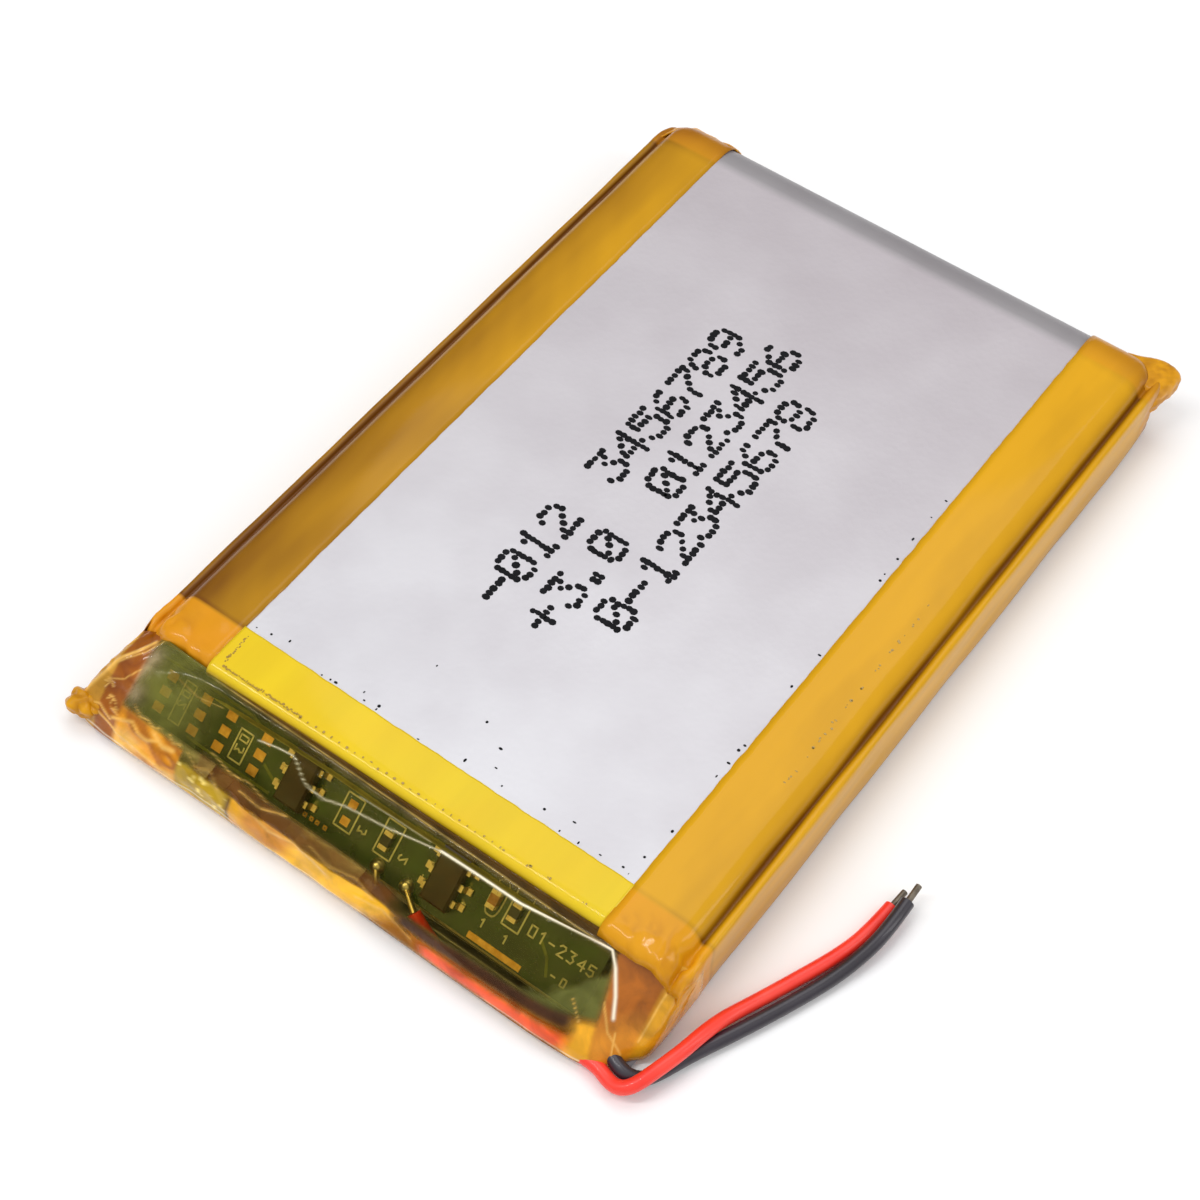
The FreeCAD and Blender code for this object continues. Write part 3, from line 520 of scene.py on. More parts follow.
# %% Side tapes
# Each point: x and z of the section in mm, and the share of painted shade there, darkest in the valley.
SECTION = np.array([(12.30, 5.00, 0.0), (13.60, 5.01, 0.0), (14.90, 5.00, 0.0), (15.60, 4.96, 0.0),
                    (16.00, 4.72, 0.05), (16.26, 4.36, 0.35), (16.38, 4.02, 1.0), (16.52, 3.98, 0.8),
                    (16.64, 4.12, 0.25), (16.80, 4.18, 0.0), (17.00, 4.14, 0.0), (17.06, 3.90, 0.0),
                    (17.04, 3.30, 0.05), (17.00, 2.20, 0.12), (17.00, 1.20, 0.18), (17.00, 0.45, 0.35),
                    (16.90, 0.10, 0.7), (16.50, 0.00, 0.7), (15.00, 0.00, 0.5), (12.30, 0.00, 0.5)])
SIDE_FRONT, SIDE_FAR = -20.95, 24.1


def side_tape(name, side, seed):
    """The section's B-spline carried along y, then shrunk to the corner by a superellipse."""
    section = b_spline(len(SECTION), 110) @ SECTION
    run = np.linspace(SIDE_FRONT, SIDE_FAR, 190, endpoint=False)
    out, kept = fold(np.linspace(0, 1, 30), 1.0)
    y = np.concatenate([run, SIDE_FAR + out * 2.15])
    shrink = np.concatenate([np.ones(190), kept])
    narrow = np.concatenate([np.ones(190), kept ** 0.55])
    grid = np.empty((len(y), len(section), 3))
    grid[..., 0] = 12.3 + (section[None, :, 0] - 12.3) * narrow[:, None]
    grid[..., 1] = y[:, None]
    grid[..., 2] = 2.5 + (section[None, :, 1] - 2.5) * shrink[:, None]
    droop = 0.62 * step(grid[..., 1], -20.0, -20.95) ** 3 * step(grid[..., 2], 2.0, 4.0)
    grid[..., 2] -= droop
    outer = sheet_normals(grid)
    # Painted shade on the outer shoulders, more on the left tape and most towards its near end, in place of the
    # dimmer light there.
    painted_shoulder_shade = (0.30 if side < 0 else 0.10) * step(grid[..., 0], 13.2, 15.8)
    if side < 0:
        painted_shoulder_shade += 0.28 + 0.32 * step(grid[..., 1], 12.0, -20.0)
    # The section's painted share, the shoulder shade and the droop at the front end all darken the colour.
    dark = section[None, :, 2] + painted_shoulder_shade * step(grid[..., 2], 3.0, 4.0) + droop
    side_part = np.clip((grid[..., 0] - 15.4) / 1.0, 0, 1)
    creased = ripple(grid * (1, 0.35, 1), 3.4, seed, 3) * 0.05 * side_part
    end = np.clip((grid[..., 1] - 22.6) / 2.0, 0, 1)
    creased += ripple(grid, 1.5, seed + 5, 2) * 0.07 * end * side_part
    tucked = step(grid[..., 1], -18.3, -19.6) * step(grid[..., 0], 12.6, 13.4) * step(grid[..., 2], 0.5, 1.5)
    pleats = np.abs(ripple(grid * (1, 0.8, 1), 2.3, seed + 7, 3))
    creased += (0.35 - pleats) * 0.32 * tucked
    grid -= outer * creased[..., None] * side
    cut = ripple(grid[..., 1:2] * (1, 0, 0), 1.3, seed + 9, 4) * 0.035
    grid[..., 0] += cut * np.clip(1 - (section[None, :, 0] - 12.3) / 0.8, 0, 1) * (1 - end)
    grid[..., 0] *= side
    piece = grid_piece(name, grid, side_finish, flip=side > 0)
    front = step(grid[..., 1], -18.1, -18.22)
    double = 0.45 * step(grid[..., 1], 23.4, 23.6) + front * (1.0 if side < 0 else 0.7)
    # Painted shade: darker over the far end, less where the tape lies double.
    dark = dark * (1 - 0.6 * front) + 0.55 * step(grid[..., 1], 23.0, 24.6)
    # A darker line where the double layer begins, and painted shade in the valleys of the tucked pleats.
    edge_line_and_pleat_shade = np.exp(-((grid[..., 1] + 18.14) / 0.05) ** 2) * 0.35 + 0.6 * tucked * step(pleats, 0.16, 0.0)
    mark(piece, "painted_shade_and_mottle", np.clip(dark + edge_line_and_pleat_shade + 0.12 * ripple(grid * (1, 0.3, 1), 2.2, seed + 2), 0, 1))
    mark(piece, "layers", np.clip(double * (0.8 + 0.2 * ripple(grid, 2.8, seed + 3)), 0, 1))
    wall = piece.modifiers.new("film_thickness", "SOLIDIFY")
    wall.thickness = 0.055 * MM
    wall.offset = -1
    return piece


left_tape = tell(side_tape("left_tape_wrap", -1, 11), "polyimide_tape", "left_side_tape")
right_tape = tell(side_tape("right_tape_wrap", 1, 23), "polyimide_tape", "right_side_tape")

# %% [markdown]
# ## Front tape on the face
# The front tape starts on the face, where it is a single bright layer on foil.  It is level for
# 2.4 mm and then bends over the cup's front edge.  Its back edge is cut a little out of square.

# %% Strip on the face
# Each point: y and z in mm, and the shade painted there, dark where the tape turns down over the cup's edge.
STRIP_PATH = [(-18.00, 5.00, 0.0), (-18.60, 5.005, 0.0), (-19.60, 5.00, 0.0), (-20.30, 4.97, 0.0),
              (-20.70, 4.78, 0.0), (-20.86, 4.55, 0.6), (-20.92, 4.30, 1.0)]


def strip_sheet():
    """The path's B-spline in y and z carried across x; the skew is a straight line in x."""
    path = b_spline(len(STRIP_PATH), 60) @ np.array(STRIP_PATH)
    x = np.linspace(-12.34, 12.34, 150)
    grid = np.empty((150, 60, 3))
    grid[..., 0] = x[:, None]
    skew = 0.20 * x[:, None] / 12.3
    grid[..., 1] = path[None, :, 0] + skew * np.clip((-17.9 - path[None, :, 0]) / 2.4, 0, 1)
    grid[..., 2] = path[None, :, 1] + 0.006
    cut = ripple(grid[..., :1] * (1, 0, 0), 1.1, 31, 4) * 0.03
    grid[..., 1] += cut * np.clip(1 + (path[None, :, 0] + 18.0) / 0.6, 0, 1)
    return grid, np.broadcast_to(path[None, :, 2], (150, 60))


grid, dark = strip_sheet()
strip = tell(grid_piece("front_tape_on_face", grid, strip_finish, flip=True), "polyimide_tape")
mark(strip, "painted_shade_and_mottle", dark)
mark(strip, "layers", 0.12 * (1 + ripple(grid, 6.0, 33)))
wall = strip.modifiers.new("film_thickness", "SOLIDIFY")
wall.thickness = 0.05 * MM
wall.offset = -1

# %% [markdown]
# ## Front tape over the board
# Past the cup's edge the same tape hangs as a tent over the board.  It dips, rises over the
# tops of the chips in a ridge, runs down to the floor edge and is folded in at both corners.
# A control net of a few points a column, blended by B-splines in both directions, is the
# quickest way to such a tent: each column is one section, and a corner is only columns that
# swing outwards.

# %% Film over the board
FILM_NET = [
    [(-17.02, -19.6, 4.12), (-17.06, -19.6, 3.6), (-17.06, -19.6, 2.8), (-17.05, -19.6, 1.8),
     (-17.04, -19.6, 0.9), (-17.02, -19.6, 0.3), (-16.7, -19.6, 0.0), (-15.5, -19.6, 0.0)],
    [(-17.02, -21.2, 4.08), (-17.15, -21.3, 3.5), (-17.25, -21.5, 2.8), (-17.25, -21.7, 1.8),
     (-17.2, -21.8, 0.9), (-17.1, -21.8, 0.3), (-16.8, -21.8, 0.0), (-15.5, -21.2, 0.0)],
    [(-16.6, -20.6, 3.85), (-17.2, -22.0, 3.6), (-17.7, -23.0, 2.8), (-18.1, -23.9, 1.9),
     (-18.2, -24.3, 1.0), (-18.0, -24.4, 0.3), (-17.6, -24.2, 0.0), (-15.8, -22.8, 0.0)],
    [(-15.9, -20.6, 4.12), (-16.6, -22.0, 3.95), (-17.5, -23.2, 2.95), (-18.3, -24.6, 1.7),
     (-18.45, -25.2, 0.9), (-18.2, -25.3, 0.3), (-17.7, -25.1, 0.0), (-15.8, -23.6, 0.0)],
    [(-15.0, -20.9, 4.70), (-15.4, -21.9, 4.15), (-16.0, -23.1, 3.2), (-16.9, -24.6, 2.0),
     (-17.0, -25.4, 1.1), (-17.0, -25.6, 0.3), (-16.8, -25.3, 0.0), (-15.0, -24.0, 0.0)],
    [(-12.6, -20.95, 4.60), (-12.7, -21.5, 4.12), (-12.9, -22.3, 4.12), (-13.2, -24.2, 2.60),
     (-13.4, -25.35, 1.3), (-13.4, -25.55, 0.35), (-13.4, -25.2, 0.0), (-13.0, -24.0, 0.0)],
    [(-9.0, -20.93, 4.62), (-9.0, -21.5, 4.10), (-9.0, -22.25, 4.75), (-9.0, -24.3, 2.65),
     (-9.0, -25.3, 1.4), (-9.0, -25.5, 0.4), (-9.0, -25.2, 0.0), (-9.0, -23.8, 0.0)],
    [(-4.5, -20.90, 4.62), (-4.5, -21.4, 4.12), (-4.5, -22.1, 5.12), (-4.5, -24.4, 2.75),
     (-4.5, -25.3, 1.4), (-4.5, -25.45, 0.4), (-4.5, -25.15, 0.0), (-4.5, -23.8, 0.0)],
    [(0.5, -20.88, 4.62), (0.5, -21.35, 4.05), (0.5, -22.1, 4.85), (0.5, -24.3, 2.75),
     (0.5, -25.3, 1.5), (0.5, -25.45, 0.4), (0.5, -25.15, 0.0), (0.5, -23.8, 0.0)],
    [(4.5, -20.82, 4.62), (4.5, -21.3, 4.12), (4.5, -22.05, 5.18), (4.5, -24.4, 2.80),
     (4.5, -25.3, 1.5), (4.5, -25.50, 0.4), (4.5, -25.2, 0.0), (4.5, -23.8, 0.0)],
    [(9.0, -20.76, 4.62), (9.0, -21.25, 4.05), (9.0, -21.9, 4.80), (9.0, -24.2, 2.70),
     (9.0, -25.3, 1.5), (9.0, -25.50, 0.4), (9.0, -25.2, 0.0), (9.0, -23.8, 0.0)],
    [(12.0, -20.68, 4.62), (12.0, -21.1, 4.15), (12.1, -21.5, 4.65), (12.2, -23.6, 2.90),
     (12.4, -25.2, 1.5), (12.4, -25.50, 0.45), (12.4, -25.2, 0.0), (12.0, -23.8, 0.0)],
    [(13.2, -20.60, 4.66), (13.35, -20.9, 4.40), (13.6, -21.2, 4.35), (14.4, -22.5, 3.00),
     (14.9, -24.6, 1.4), (15.0, -25.3, 0.50), (14.8, -25.0, 0.0), (14.0, -23.8, 0.0)],
    [(14.2, -20.45, 4.68), (14.3, -20.8, 4.15), (14.5, -21.3, 3.80), (15.1, -22.4, 2.70),
     (15.6, -24.0, 1.3), (15.8, -24.6, 0.50), (15.6, -24.4, 0.0), (14.6, -23.6, 0.0)],
    [(15.4, -20.10, 4.55), (15.5, -20.6, 3.80), (15.7, -21.2, 3.20), (16.0, -22.2, 2.20),
     (16.2, -23.2, 1.2), (16.4, -23.6, 0.50), (16.2, -23.5, 0.0), (15.2, -23.0, 0.0)],
    [(16.4, -19.70, 4.10), (16.5, -20.4, 3.95), (16.6, -21.2, 3.30), (16.7, -22.1, 2.30),
     (16.85, -22.9, 1.3), (16.9, -23.2, 0.50), (16.7, -23.1, 0.0), (15.6, -22.6, 0.0)],
    [(17.02, -19.6, 4.10), (17.06, -20.2, 3.70), (17.08, -21.0, 2.80), (17.08, -21.8, 1.9),
     (17.06, -22.3, 1.0), (17.02, -22.5, 0.40), (16.8, -22.4, 0.0), (15.6, -22.2, 0.0)],
    [(17.03, -18.9, 4.10), (17.08, -18.9, 3.60), (17.08, -18.9, 2.80), (17.07, -18.9, 1.8),
     (17.06, -18.9, 0.9), (17.02, -18.9, 0.30), (16.8, -18.9, 0.0), (15.6, -18.9, 0.0)]]


def near_line(grid, line, width):
    """How near each point is, seen from above, to a polyline: exp(-(distance / width) squared)."""
    grid = grid[..., :2]
    line = np.asarray(line, float)[:, :2]
    best = np.full(grid.shape[:2], 1e9)
    for start, end in zip(line[:-1], line[1:]):
        step = end - start
        share = np.clip(((grid - start) @ step) / (step @ step), 0, 1)
        best = np.minimum(best, np.linalg.norm(grid - start - share[..., None] * step, axis=-1))
    return np.exp(-(best / width) ** 2)


film_grid = spline_sheet(FILM_NET, 330, 142)
outward = -sheet_normals(film_grid)
loose = np.clip((film_grid[..., 2] - 0.3) / 1.0, 0, 1) * np.clip((4.4 - film_grid[..., 2]) / 0.6, 0, 1)
film_grid = film_grid + outward * (ripple(film_grid * (0.45, 1, 1), 1.9, 41, 3) * 0.05 * loose)[..., None]

# %% Creases, backing and hollows of the film
# Each line is a fold through the film with a painted highlight: its points, its width and how strongly the
# highlight whitens it.
CREASE_HIGHLIGHTS = [
    (((3.8, -22.0), (8.5, -21.85), (12.2, -21.25), (13.35, -21.1), (13.9, -21.6), (14.5, -22.4),
      (14.9, -23.1)), 0.085, 1.0),
    (((-7.6, -22.5), (-6.4, -22.3), (-5.4, -22.2), (-4.2, -22.9), (-3.0, -23.0), (-1.6, -22.7),
      (0.9, -22.45), (3.6, -22.05)), 0.055, 0.6),
    (((-1.4, -22.0), (0.8, -21.9), (3.0, -21.9)), 0.06, 0.35)]
# Shallow folds where the film lies on other tape, with painted highlights that only lighten its gold.
FOLD_HIGHLIGHTS = [
    (((-15.7, -21.2), (-16.3, -22.0), (-17.1, -22.8), (-17.5, -23.6), (-18.3, -24.8)), 0.11, 1.0),
    (((-15.3, -21.0), (-15.9, -21.9), (-17.2, -23.0)), 0.05, 0.7),
    (((-16.9, -21.0), (-17.3, -22.0), (-17.6, -22.6), (-18.3, -23.9)), 0.06, 0.8),
    (((-15.6, -22.6), (-16.2, -23.3), (-17.0, -23.6)), 0.04, 0.6),
    (((-16.0, -25.0), (-16.9, -24.7), (-17.6, -24.9)), 0.05, 0.8),
    (((16.55, -20.2), (16.4, -21.4), (16.3, -23.0)), 0.06, 0.7),
    (((15.3, -23.5), (15.6, -24.2)), 0.05, 0.8), (((12.9, -23.6), (13.6, -24.1)), 0.05, 0.8),
    (((14.2, -22.9), (15.0, -23.7), (15.9, -23.9)), 0.05, 0.7),
    (((-15.9, -24.9), (-15.2, -24.75), (-14.6, -24.6), (-14.0, -24.85), (-13.4, -24.9), (-12.6, -24.6)),
     0.07, 0.8),
    (((-14.9, -24.0), (-14.3, -24.25), (-13.8, -24.2), (-13.3, -24.35), (-12.9, -24.2)), 0.06, 0.8),
    (((-13.2, -24.5), (-12.4, -24.75), (-11.7, -24.65)), 0.09, 0.9),
    (((-12.3, -24.2), (-11.9, -24.4), (-11.4, -24.3)), 0.06, 0.8),
    (((-17.4, -24.9), (-15.4, -25.3), (-11.6, -25.42)), 0.05, 0.8),
    (((-10.9, -24.4), (-10.2, -24.7), (-9.3, -24.5), (-8.6, -24.9)), 0.05, 0.6),
    (((-7.3, -24.5), (-5.9, -24.6), (-4.3, -24.3)), 0.05, 0.8),
    (((-9.6, -23.9), (-8.2, -24.15), (-7.0, -24.05), (-5.6, -24.3)), 0.04, 0.7),
    (((-13.6, -22.0), (-11.8, -22.3), (-10.2, -22.1)), 0.035, 0.5),
    (((-6.2, -24.9), (-5.0, -25.1), (-3.4, -24.9), (-1.2, -25.15)), 0.05, 0.7),
    (((-2.6, -24.7), (-1.2, -24.9), (0.4, -24.7), (1.6, -24.95)), 0.04, 0.6),
    (((0.6, -25.2), (2.4, -25.05), (4.2, -25.3)), 0.04, 0.6)]
painted_crease_highlight = np.zeros(film_grid.shape[:2])
for line, width, strength in CREASE_HIGHLIGHTS:
    painted_crease_highlight = np.maximum(painted_crease_highlight, strength * near_line(film_grid, line, width))
painted_crease_highlight *= step(film_grid[..., 2], 0.5, 0.7)
golden = np.zeros(film_grid.shape[:2])
for line, width, strength in FOLD_HIGHLIGHTS:
    golden = np.maximum(golden, strength * near_line(film_grid, line, width))
golden *= step(film_grid[..., 2], 0.3, 0.5)
# Bursts of short creases round trapped grains, near the left corner.
chance = np.random.default_rng(17)
for centre in ((-16.4, -24.3), (-15.8, -24.6), (-16.9, -23.7)):
    for turn in np.linspace(0, 2 * np.pi, 7, endpoint=False) + chance.uniform(0, 1, 7):
        reach = chance.uniform(0.12, 0.38)
        root = np.array(centre) + chance.normal(0, 0.07, 2)
        tip = root + reach * np.array([np.cos(turn), 0.7 * np.sin(turn)])
        golden = np.maximum(golden, chance.uniform(0.5, 1.0) * near_line(film_grid, [root, tip], 0.04))
# A pale painted highlight line along the film's lower edge, just above the floor.
floor_line = np.exp(-((film_grid[..., 2] - 0.62 + 0.1 * ripple(film_grid, 6.0, 71)) / 0.05) ** 2)
painted_crease_highlight = np.maximum(painted_crease_highlight, 0.55 * floor_line * step(film_grid[..., 1], -24.0, -24.6))
film_grid = film_grid + outward * (0.03 * painted_crease_highlight + 0.05 * golden)[..., None]
# Where it lies on the inner tapes the film is crumpled: sharp folds are the absolute value of a ripple.
crumpled = (step(film_grid[..., 2], 2.6, 2.1) * step(film_grid[..., 2], 0.3, 0.8)
            * step(film_grid[..., 0], 3.0, -1.0))
crumpled = np.maximum(crumpled, step(film_grid[..., 0], -15.2, -16.0) * step(film_grid[..., 2], 0.3, 0.8))
folds = np.abs(ripple(film_grid * (0.6, 1, 1), 3.4, 81, 3))
film_grid = film_grid + outward * (0.22 * (0.35 - folds) * crumpled)[..., None]
x, y, z = film_grid[..., 0], film_grid[..., 1], film_grid[..., 2]

# %% [markdown]
# What lies behind the film gives most of its colour, place by place.  Over the board it is clear
# with an olive haze at both ends, where glue has not wetted it.  Below the board's left half
# three short tapes lie inside: orange, olive and gold.  Round the corners the film lies on
# other tape and is opaque amber.  The rest is painted light: a band of painted shade below the
# cup's edge, a thin painted highlight line, painted highlights along folds, painted shade and
# highlight on crumpled tape, and the red lead painted at full brightness.

# %% Colours behind the film
wobble = ripple(film_grid, 1.7, 61) * 0.25
below = step(z, 2.15, 1.85)
body = np.broadcast_to(np.array(colour("#7C7432")[:3]), film_grid.shape).copy()
cover = 0.05 + 0.03 * ripple(film_grid, 3.0, 62)
# Painted shade: a dark band on the film between the cup's edge and the board, where the gap under it lies in
# shade.
painted_gap_shade = step(y, -21.5, -21.1) * (1 - step(np.abs(x), 14.0, 15.0))
body, cover = blend(body, "#6A4A10", painted_gap_shade), np.maximum(cover, 0.42 * painted_gap_shade)
# A thin painted highlight line along the film just below the cup's edge.
painted_thin_highlight = np.exp(-((y + 21.12) / 0.035) ** 2) * (1 - step(np.abs(x), 13.0, 14.0))
body, cover = blend(body, "#D8B860", painted_thin_highlight), np.maximum(cover, 0.6 * painted_thin_highlight)
haze = step(x + wobble, -9.5, -12.5) * (1 - below)
body, cover = blend(body, "#8C8C3C", haze), np.maximum(cover, 0.34 * haze)
milky = near_line(film_grid, [(-15.3, -21.8, 4.0), (-15.9, -23.3, 2.6), (-15.2, -23.6, 2.3)], 0.55)
body, cover = blend(body, "#C4B084", milky), np.maximum(cover, 0.55 * milky)
far_haze = step(x * 0.5 - z * 1.1 + wobble, 2.7, 3.1) * step(x, 9.5, 10.5) * (1 - below)
body, cover = blend(body, "#7E8038", far_haze), np.maximum(cover, 0.5 * far_haze)
lead_zone = below * step(x, -2.5, 0.5)
body, cover = blend(body, "#D8922C", lead_zone), np.maximum(cover, 0.25 * lead_zone)
plate_zone = (step(z, 2.95, 2.65) * step(z, 1.8, 1.95) * step(x + wobble, -10.6, -10.2)
              * step(x + wobble, 3.4, 2.4))
body, cover = blend(body, "#7C4A10", plate_zone), np.maximum(cover, 0.5 * plate_zone)
gold_zone = step(z, 2.05, 1.9) * step(x + wobble, -7.9, -7.8) * step(x + wobble - z * 1.5, 1.5, -0.5)
body, cover = blend(body, "#FFBE1C", gold_zone), np.maximum(cover, 1.3 * gold_zone)
warm = gold_zone * step(ripple(film_grid * (0.5, 1, 1), 3.0, 84), -0.1, 0.5)
body = blend(body, "#CC7A1C", 0.8 * warm)
olive_zone = below * step(x, -11.3, -11.2) * step(x, -7.8, -7.9)
body, cover = blend(body, "#B89414", olive_zone), np.maximum(cover, 1.3 * olive_zone)
orange_zone = step(z, 2.5, 2.3) * step(x, -11.15, -11.25)
body, cover = blend(body, "#EE9C10", orange_zone), np.maximum(cover, 1.35 * orange_zone)
# Painted shade along the sharp folds and painted highlight on the broad faces of the crumpled orange tape.
body = blend(body, "#8E4206", orange_zone * step(folds, 0.16, 0.02) * 0.7)
body = blend(body, "#FFC45C", orange_zone * step(folds, 0.25, 0.55) * 0.85)
# The film clings to the two leads along the front edge, so they show through it there.  The red one is painted on
# the film at full brightness, a lit copy of the lead that lies in the film's shade behind it.
painted_lit_red_band = np.exp(-((z - 1.05) / 0.46) ** 4) * step(x, 4.4, 5.2) * step(x, 15.3, 14.9)
body, cover = blend(body, "#FF5A1A", painted_lit_red_band), np.maximum(cover, 1.1 * painted_lit_red_band)
black_band = np.exp(-((z - 1.92) / 0.30) ** 4) * step(x, 2.6, 3.6) * step(x, 15.4, 14.8)
body, cover = blend(body, "#4A2604", black_band), np.maximum(cover, 0.85 * black_band)
flecks = olive_zone * step(ripple(film_grid * (1, 1.4, 1), 0.7, 92, 3), 0.35, 0.6)
body = blend(body, "#FFE27A", flecks)
edge_line = below * np.exp(-((x + 7.75) / 0.16) ** 2)
body = blend(body, "#5C4212", edge_line)
floor_edge = step(z, 0.55, 0.35)
body, cover = blend(body, "#E0AC50", floor_edge), np.maximum(cover, 0.45 * floor_edge)
left_gusset = step(x, -15.35, -15.7)
body, cover = blend(body, "#9E5608", left_gusset), np.maximum(cover, 1.35 * left_gusset)
# Painted shade along the sharp folds of the crumpled corner.
body = blend(body, "#8A4408", left_gusset * step(folds, 0.18, 0.02) * 0.7)
left_side = step(x, -16.9, -17.05)
body = blend(body, "#C98F26", left_side)
right_low = step(x + wobble, 13.0, 13.9) * step(z, 2.3, 1.9) * step(z, 0.3, 0.6)
body, cover = blend(body, "#F2AC1C", right_low), np.maximum(cover, 1.3 * right_low)
facet = step(x - 0.35 * (4.3 - z), 13.5, 13.8) * step(z, 4.6, 4.3)
body, cover = blend(body, "#B0620E", facet), np.maximum(cover, 1.3 * facet)
facet_low = facet * step(z, 2.6, 1.6)
body = blend(body, "#D88A1C", facet_low)
right_side = step(x, 16.1, 16.4)
body, cover = blend(body, "#E0A01C", right_side), np.maximum(cover, 1.4 * right_side)
# Painted highlight: pale gold laid on the film along the shallow folds, and the same pale gold on the bursts.
body, cover = blend(body, "#FFC964", 0.85 * golden), np.maximum(cover, 0.95 * golden)
film = tell(grid_piece("front_tape_over_board", film_grid, film_finish, flip=True), "polyimide_tape", "front_tape")
mark(film, "painted_crease_highlight", painted_crease_highlight)
mark(film, "cover", np.clip(cover, 0, 1.4))
paint(film, "body", body)
wall = film.modifiers.new("film_thickness", "SOLIDIFY")
wall.thickness = 0.04 * MM
wall.offset = -1
print("film reaches", film_grid.reshape(-1, 3).min(0).round(2), film_grid.reshape(-1, 3).max(0).round(2))

# %% [markdown]
# ## Loose ends of the tape
# At the front left corner the spare tape is pinched and twisted into a small crumpled lump, and
# at the far corners a flap of it stands out past the fold.  The lump is a ball whose radius
# changes with two sharp-edged ripples; a flap is a small B-spline sheet with an outward edge.

# %% Crumpled lump and far flaps


def lump(name, centre, radii, seed):
    """A ball in (turn, rise), its radius 1 + folded ripples, where folded means the absolute value."""
    turn = np.linspace(0, 2 * np.pi, 72, endpoint=False)[:, None]
    rise = np.linspace(-np.pi / 2, np.pi / 2, 40)[None, :]
    ball = np.stack(np.broadcast_arrays(np.cos(rise) * np.cos(turn), np.cos(rise) * np.sin(turn),
                                        np.sin(rise) + 0 * turn), -1)
    creases = np.abs(ripple(ball, 1.7, seed, 2)) * 0.34 + 0.04 * ripple(ball, 0.5, seed + 1, 2)
    grid = ball * (0.82 + creases)[..., None] * radii + centre
    piece = grid_piece(name, grid, side_finish, close_u=True)
    # Painted shade: darker where the crumples sink in, lighter on their ridges.
    mark(piece, "painted_shade_and_mottle", np.clip(0.7 - creases * 1.8, 0, 1))
    mark(piece, "layers", np.full(grid.shape[:2], 0.35))
    return tell(piece, "polyimide_tape")


def flap(name, net, seed):
    """A small tensor B-spline sheet with a ripple of a tenth of a millimetre, given film's thickness."""
    grid = spline_sheet(net, 50, 24)
    grid = grid + sheet_normals(grid) * (ripple(grid, 1.0, seed, 3) * 0.08)[..., None]
    piece = grid_piece(name, grid, side_finish)
    mark(piece, "painted_shade_and_mottle", np.clip(0.30 + 0.6 * ripple(grid, 0.9, seed + 1), 0, 1))
    mark(piece, "layers", np.full(grid.shape[:2], 0.45))
    wall = piece.modifiers.new("film_thickness", "SOLIDIFY")
    wall.thickness = 0.09 * MM
    wall.offset = 0
    return tell(piece, "polyimide_tape")


lump("twisted_tape_end", (-17.95, -24.95, 1.15), (0.95, 0.85, 0.75), 5)
lump("twisted_tape_neck", (-17.2, -24.6, 1.25), (0.75, 0.7, 0.6), 9)
flap("far_right_flap", [
    [(13.6, 24.9, 4.50), (14.3, 25.7, 4.45), (14.8, 25.9, 4.1)],
    [(15.2, 24.7, 4.50), (15.6, 25.8, 4.45), (15.9, 26.5, 4.1)],
    [(16.2, 24.4, 4.25), (16.9, 25.6, 4.35), (16.7, 26.75, 4.0)],
    [(16.6, 24.0, 3.6), (17.5, 25.3, 3.8), (17.5, 26.7, 3.4)],
    [(16.6, 23.9, 2.6), (17.4, 25.0, 2.8), (17.5, 26.3, 2.6)],
    [(16.6, 23.9, 1.6), (17.1, 24.8, 1.8), (16.9, 25.8, 1.9)],
    [(16.3, 24.1, 0.9), (16.4, 24.6, 1.0), (16.0, 25.3, 1.1)]], 3)
flap("far_left_flap", [
    [(-12.2, 25.7, 4.35), (-12.2, 26.15, 3.95), (-12.2, 26.2, 3.2)],
    [(-14.2, 25.5, 4.55), (-14.4, 26.1, 4.15), (-14.4, 26.2, 3.2)],
    [(-15.5, 25.2, 4.55), (-15.9, 26.1, 4.35), (-15.8, 26.1, 3.2)],
    [(-16.5, 24.4, 4.25), (-16.9, 25.0, 4.05), (-16.9, 25.2, 3.0)],
    [(-17.0, 23.6, 4.00), (-17.2, 24.0, 3.6), (-17.15, 24.2, 2.6)]], 8)

# %% [markdown]
# ## Date print
# The face carries a code printed by a dot inkjet: each sign is a grid of 5 by 7 round dots of
# black ink.  Here the signs are only counting numbers.  The dots are flat eight-sided drops
# laid a hundredth of a millimetre above the foil.

# %% Ink dots
SIGNS = {"0": "01110 10001 10011 10101 11001 10001 01110", "1": "00100 01100 00100 00100 00100 00100 01110",
         "2": "01110 10001 00001 00010 00100 01000 11111", "3": "11111 00010 00100 00010 00001 10001 01110",
         "4": "00010 00110 01010 10010 11111 00010 00010", "5": "11111 10000 11110 00001 00001 10001 01110",
         "6": "00110 01000 10000 11110 10001 10001 01110", "7": "11111 00001 00010 00100 01000 01000 01000",
         "8": "01110 10001 10001 01110 10001 10001 01110", "9": "01110 10001 10001 01111 00001 00010 01100",
         "-": "00000 00000 00000 11111 00000 00000 00000", "+": "00000 00100 00100 11111 00100 00100 00000",
         ".": "00000 00000 00000 00000 00000 01100 01100"}
DOT_PITCH_Y, DOT_PITCH_X, SIGN_ADVANCE, DOT_RADIUS = 0.34, 0.31, 1.83, 0.19
# Each group of signs: its text, the x of its top row of dots and the y where it starts.
PRINT = (("-012", -4.60, -9.20), ("3456789", -4.60, 0.76), ("+", -1.50, -9.10), ("3.0", -1.50, -7.15),
         ("0123456", -1.55, 1.68), ("0-12345678", 1.42, -6.78))


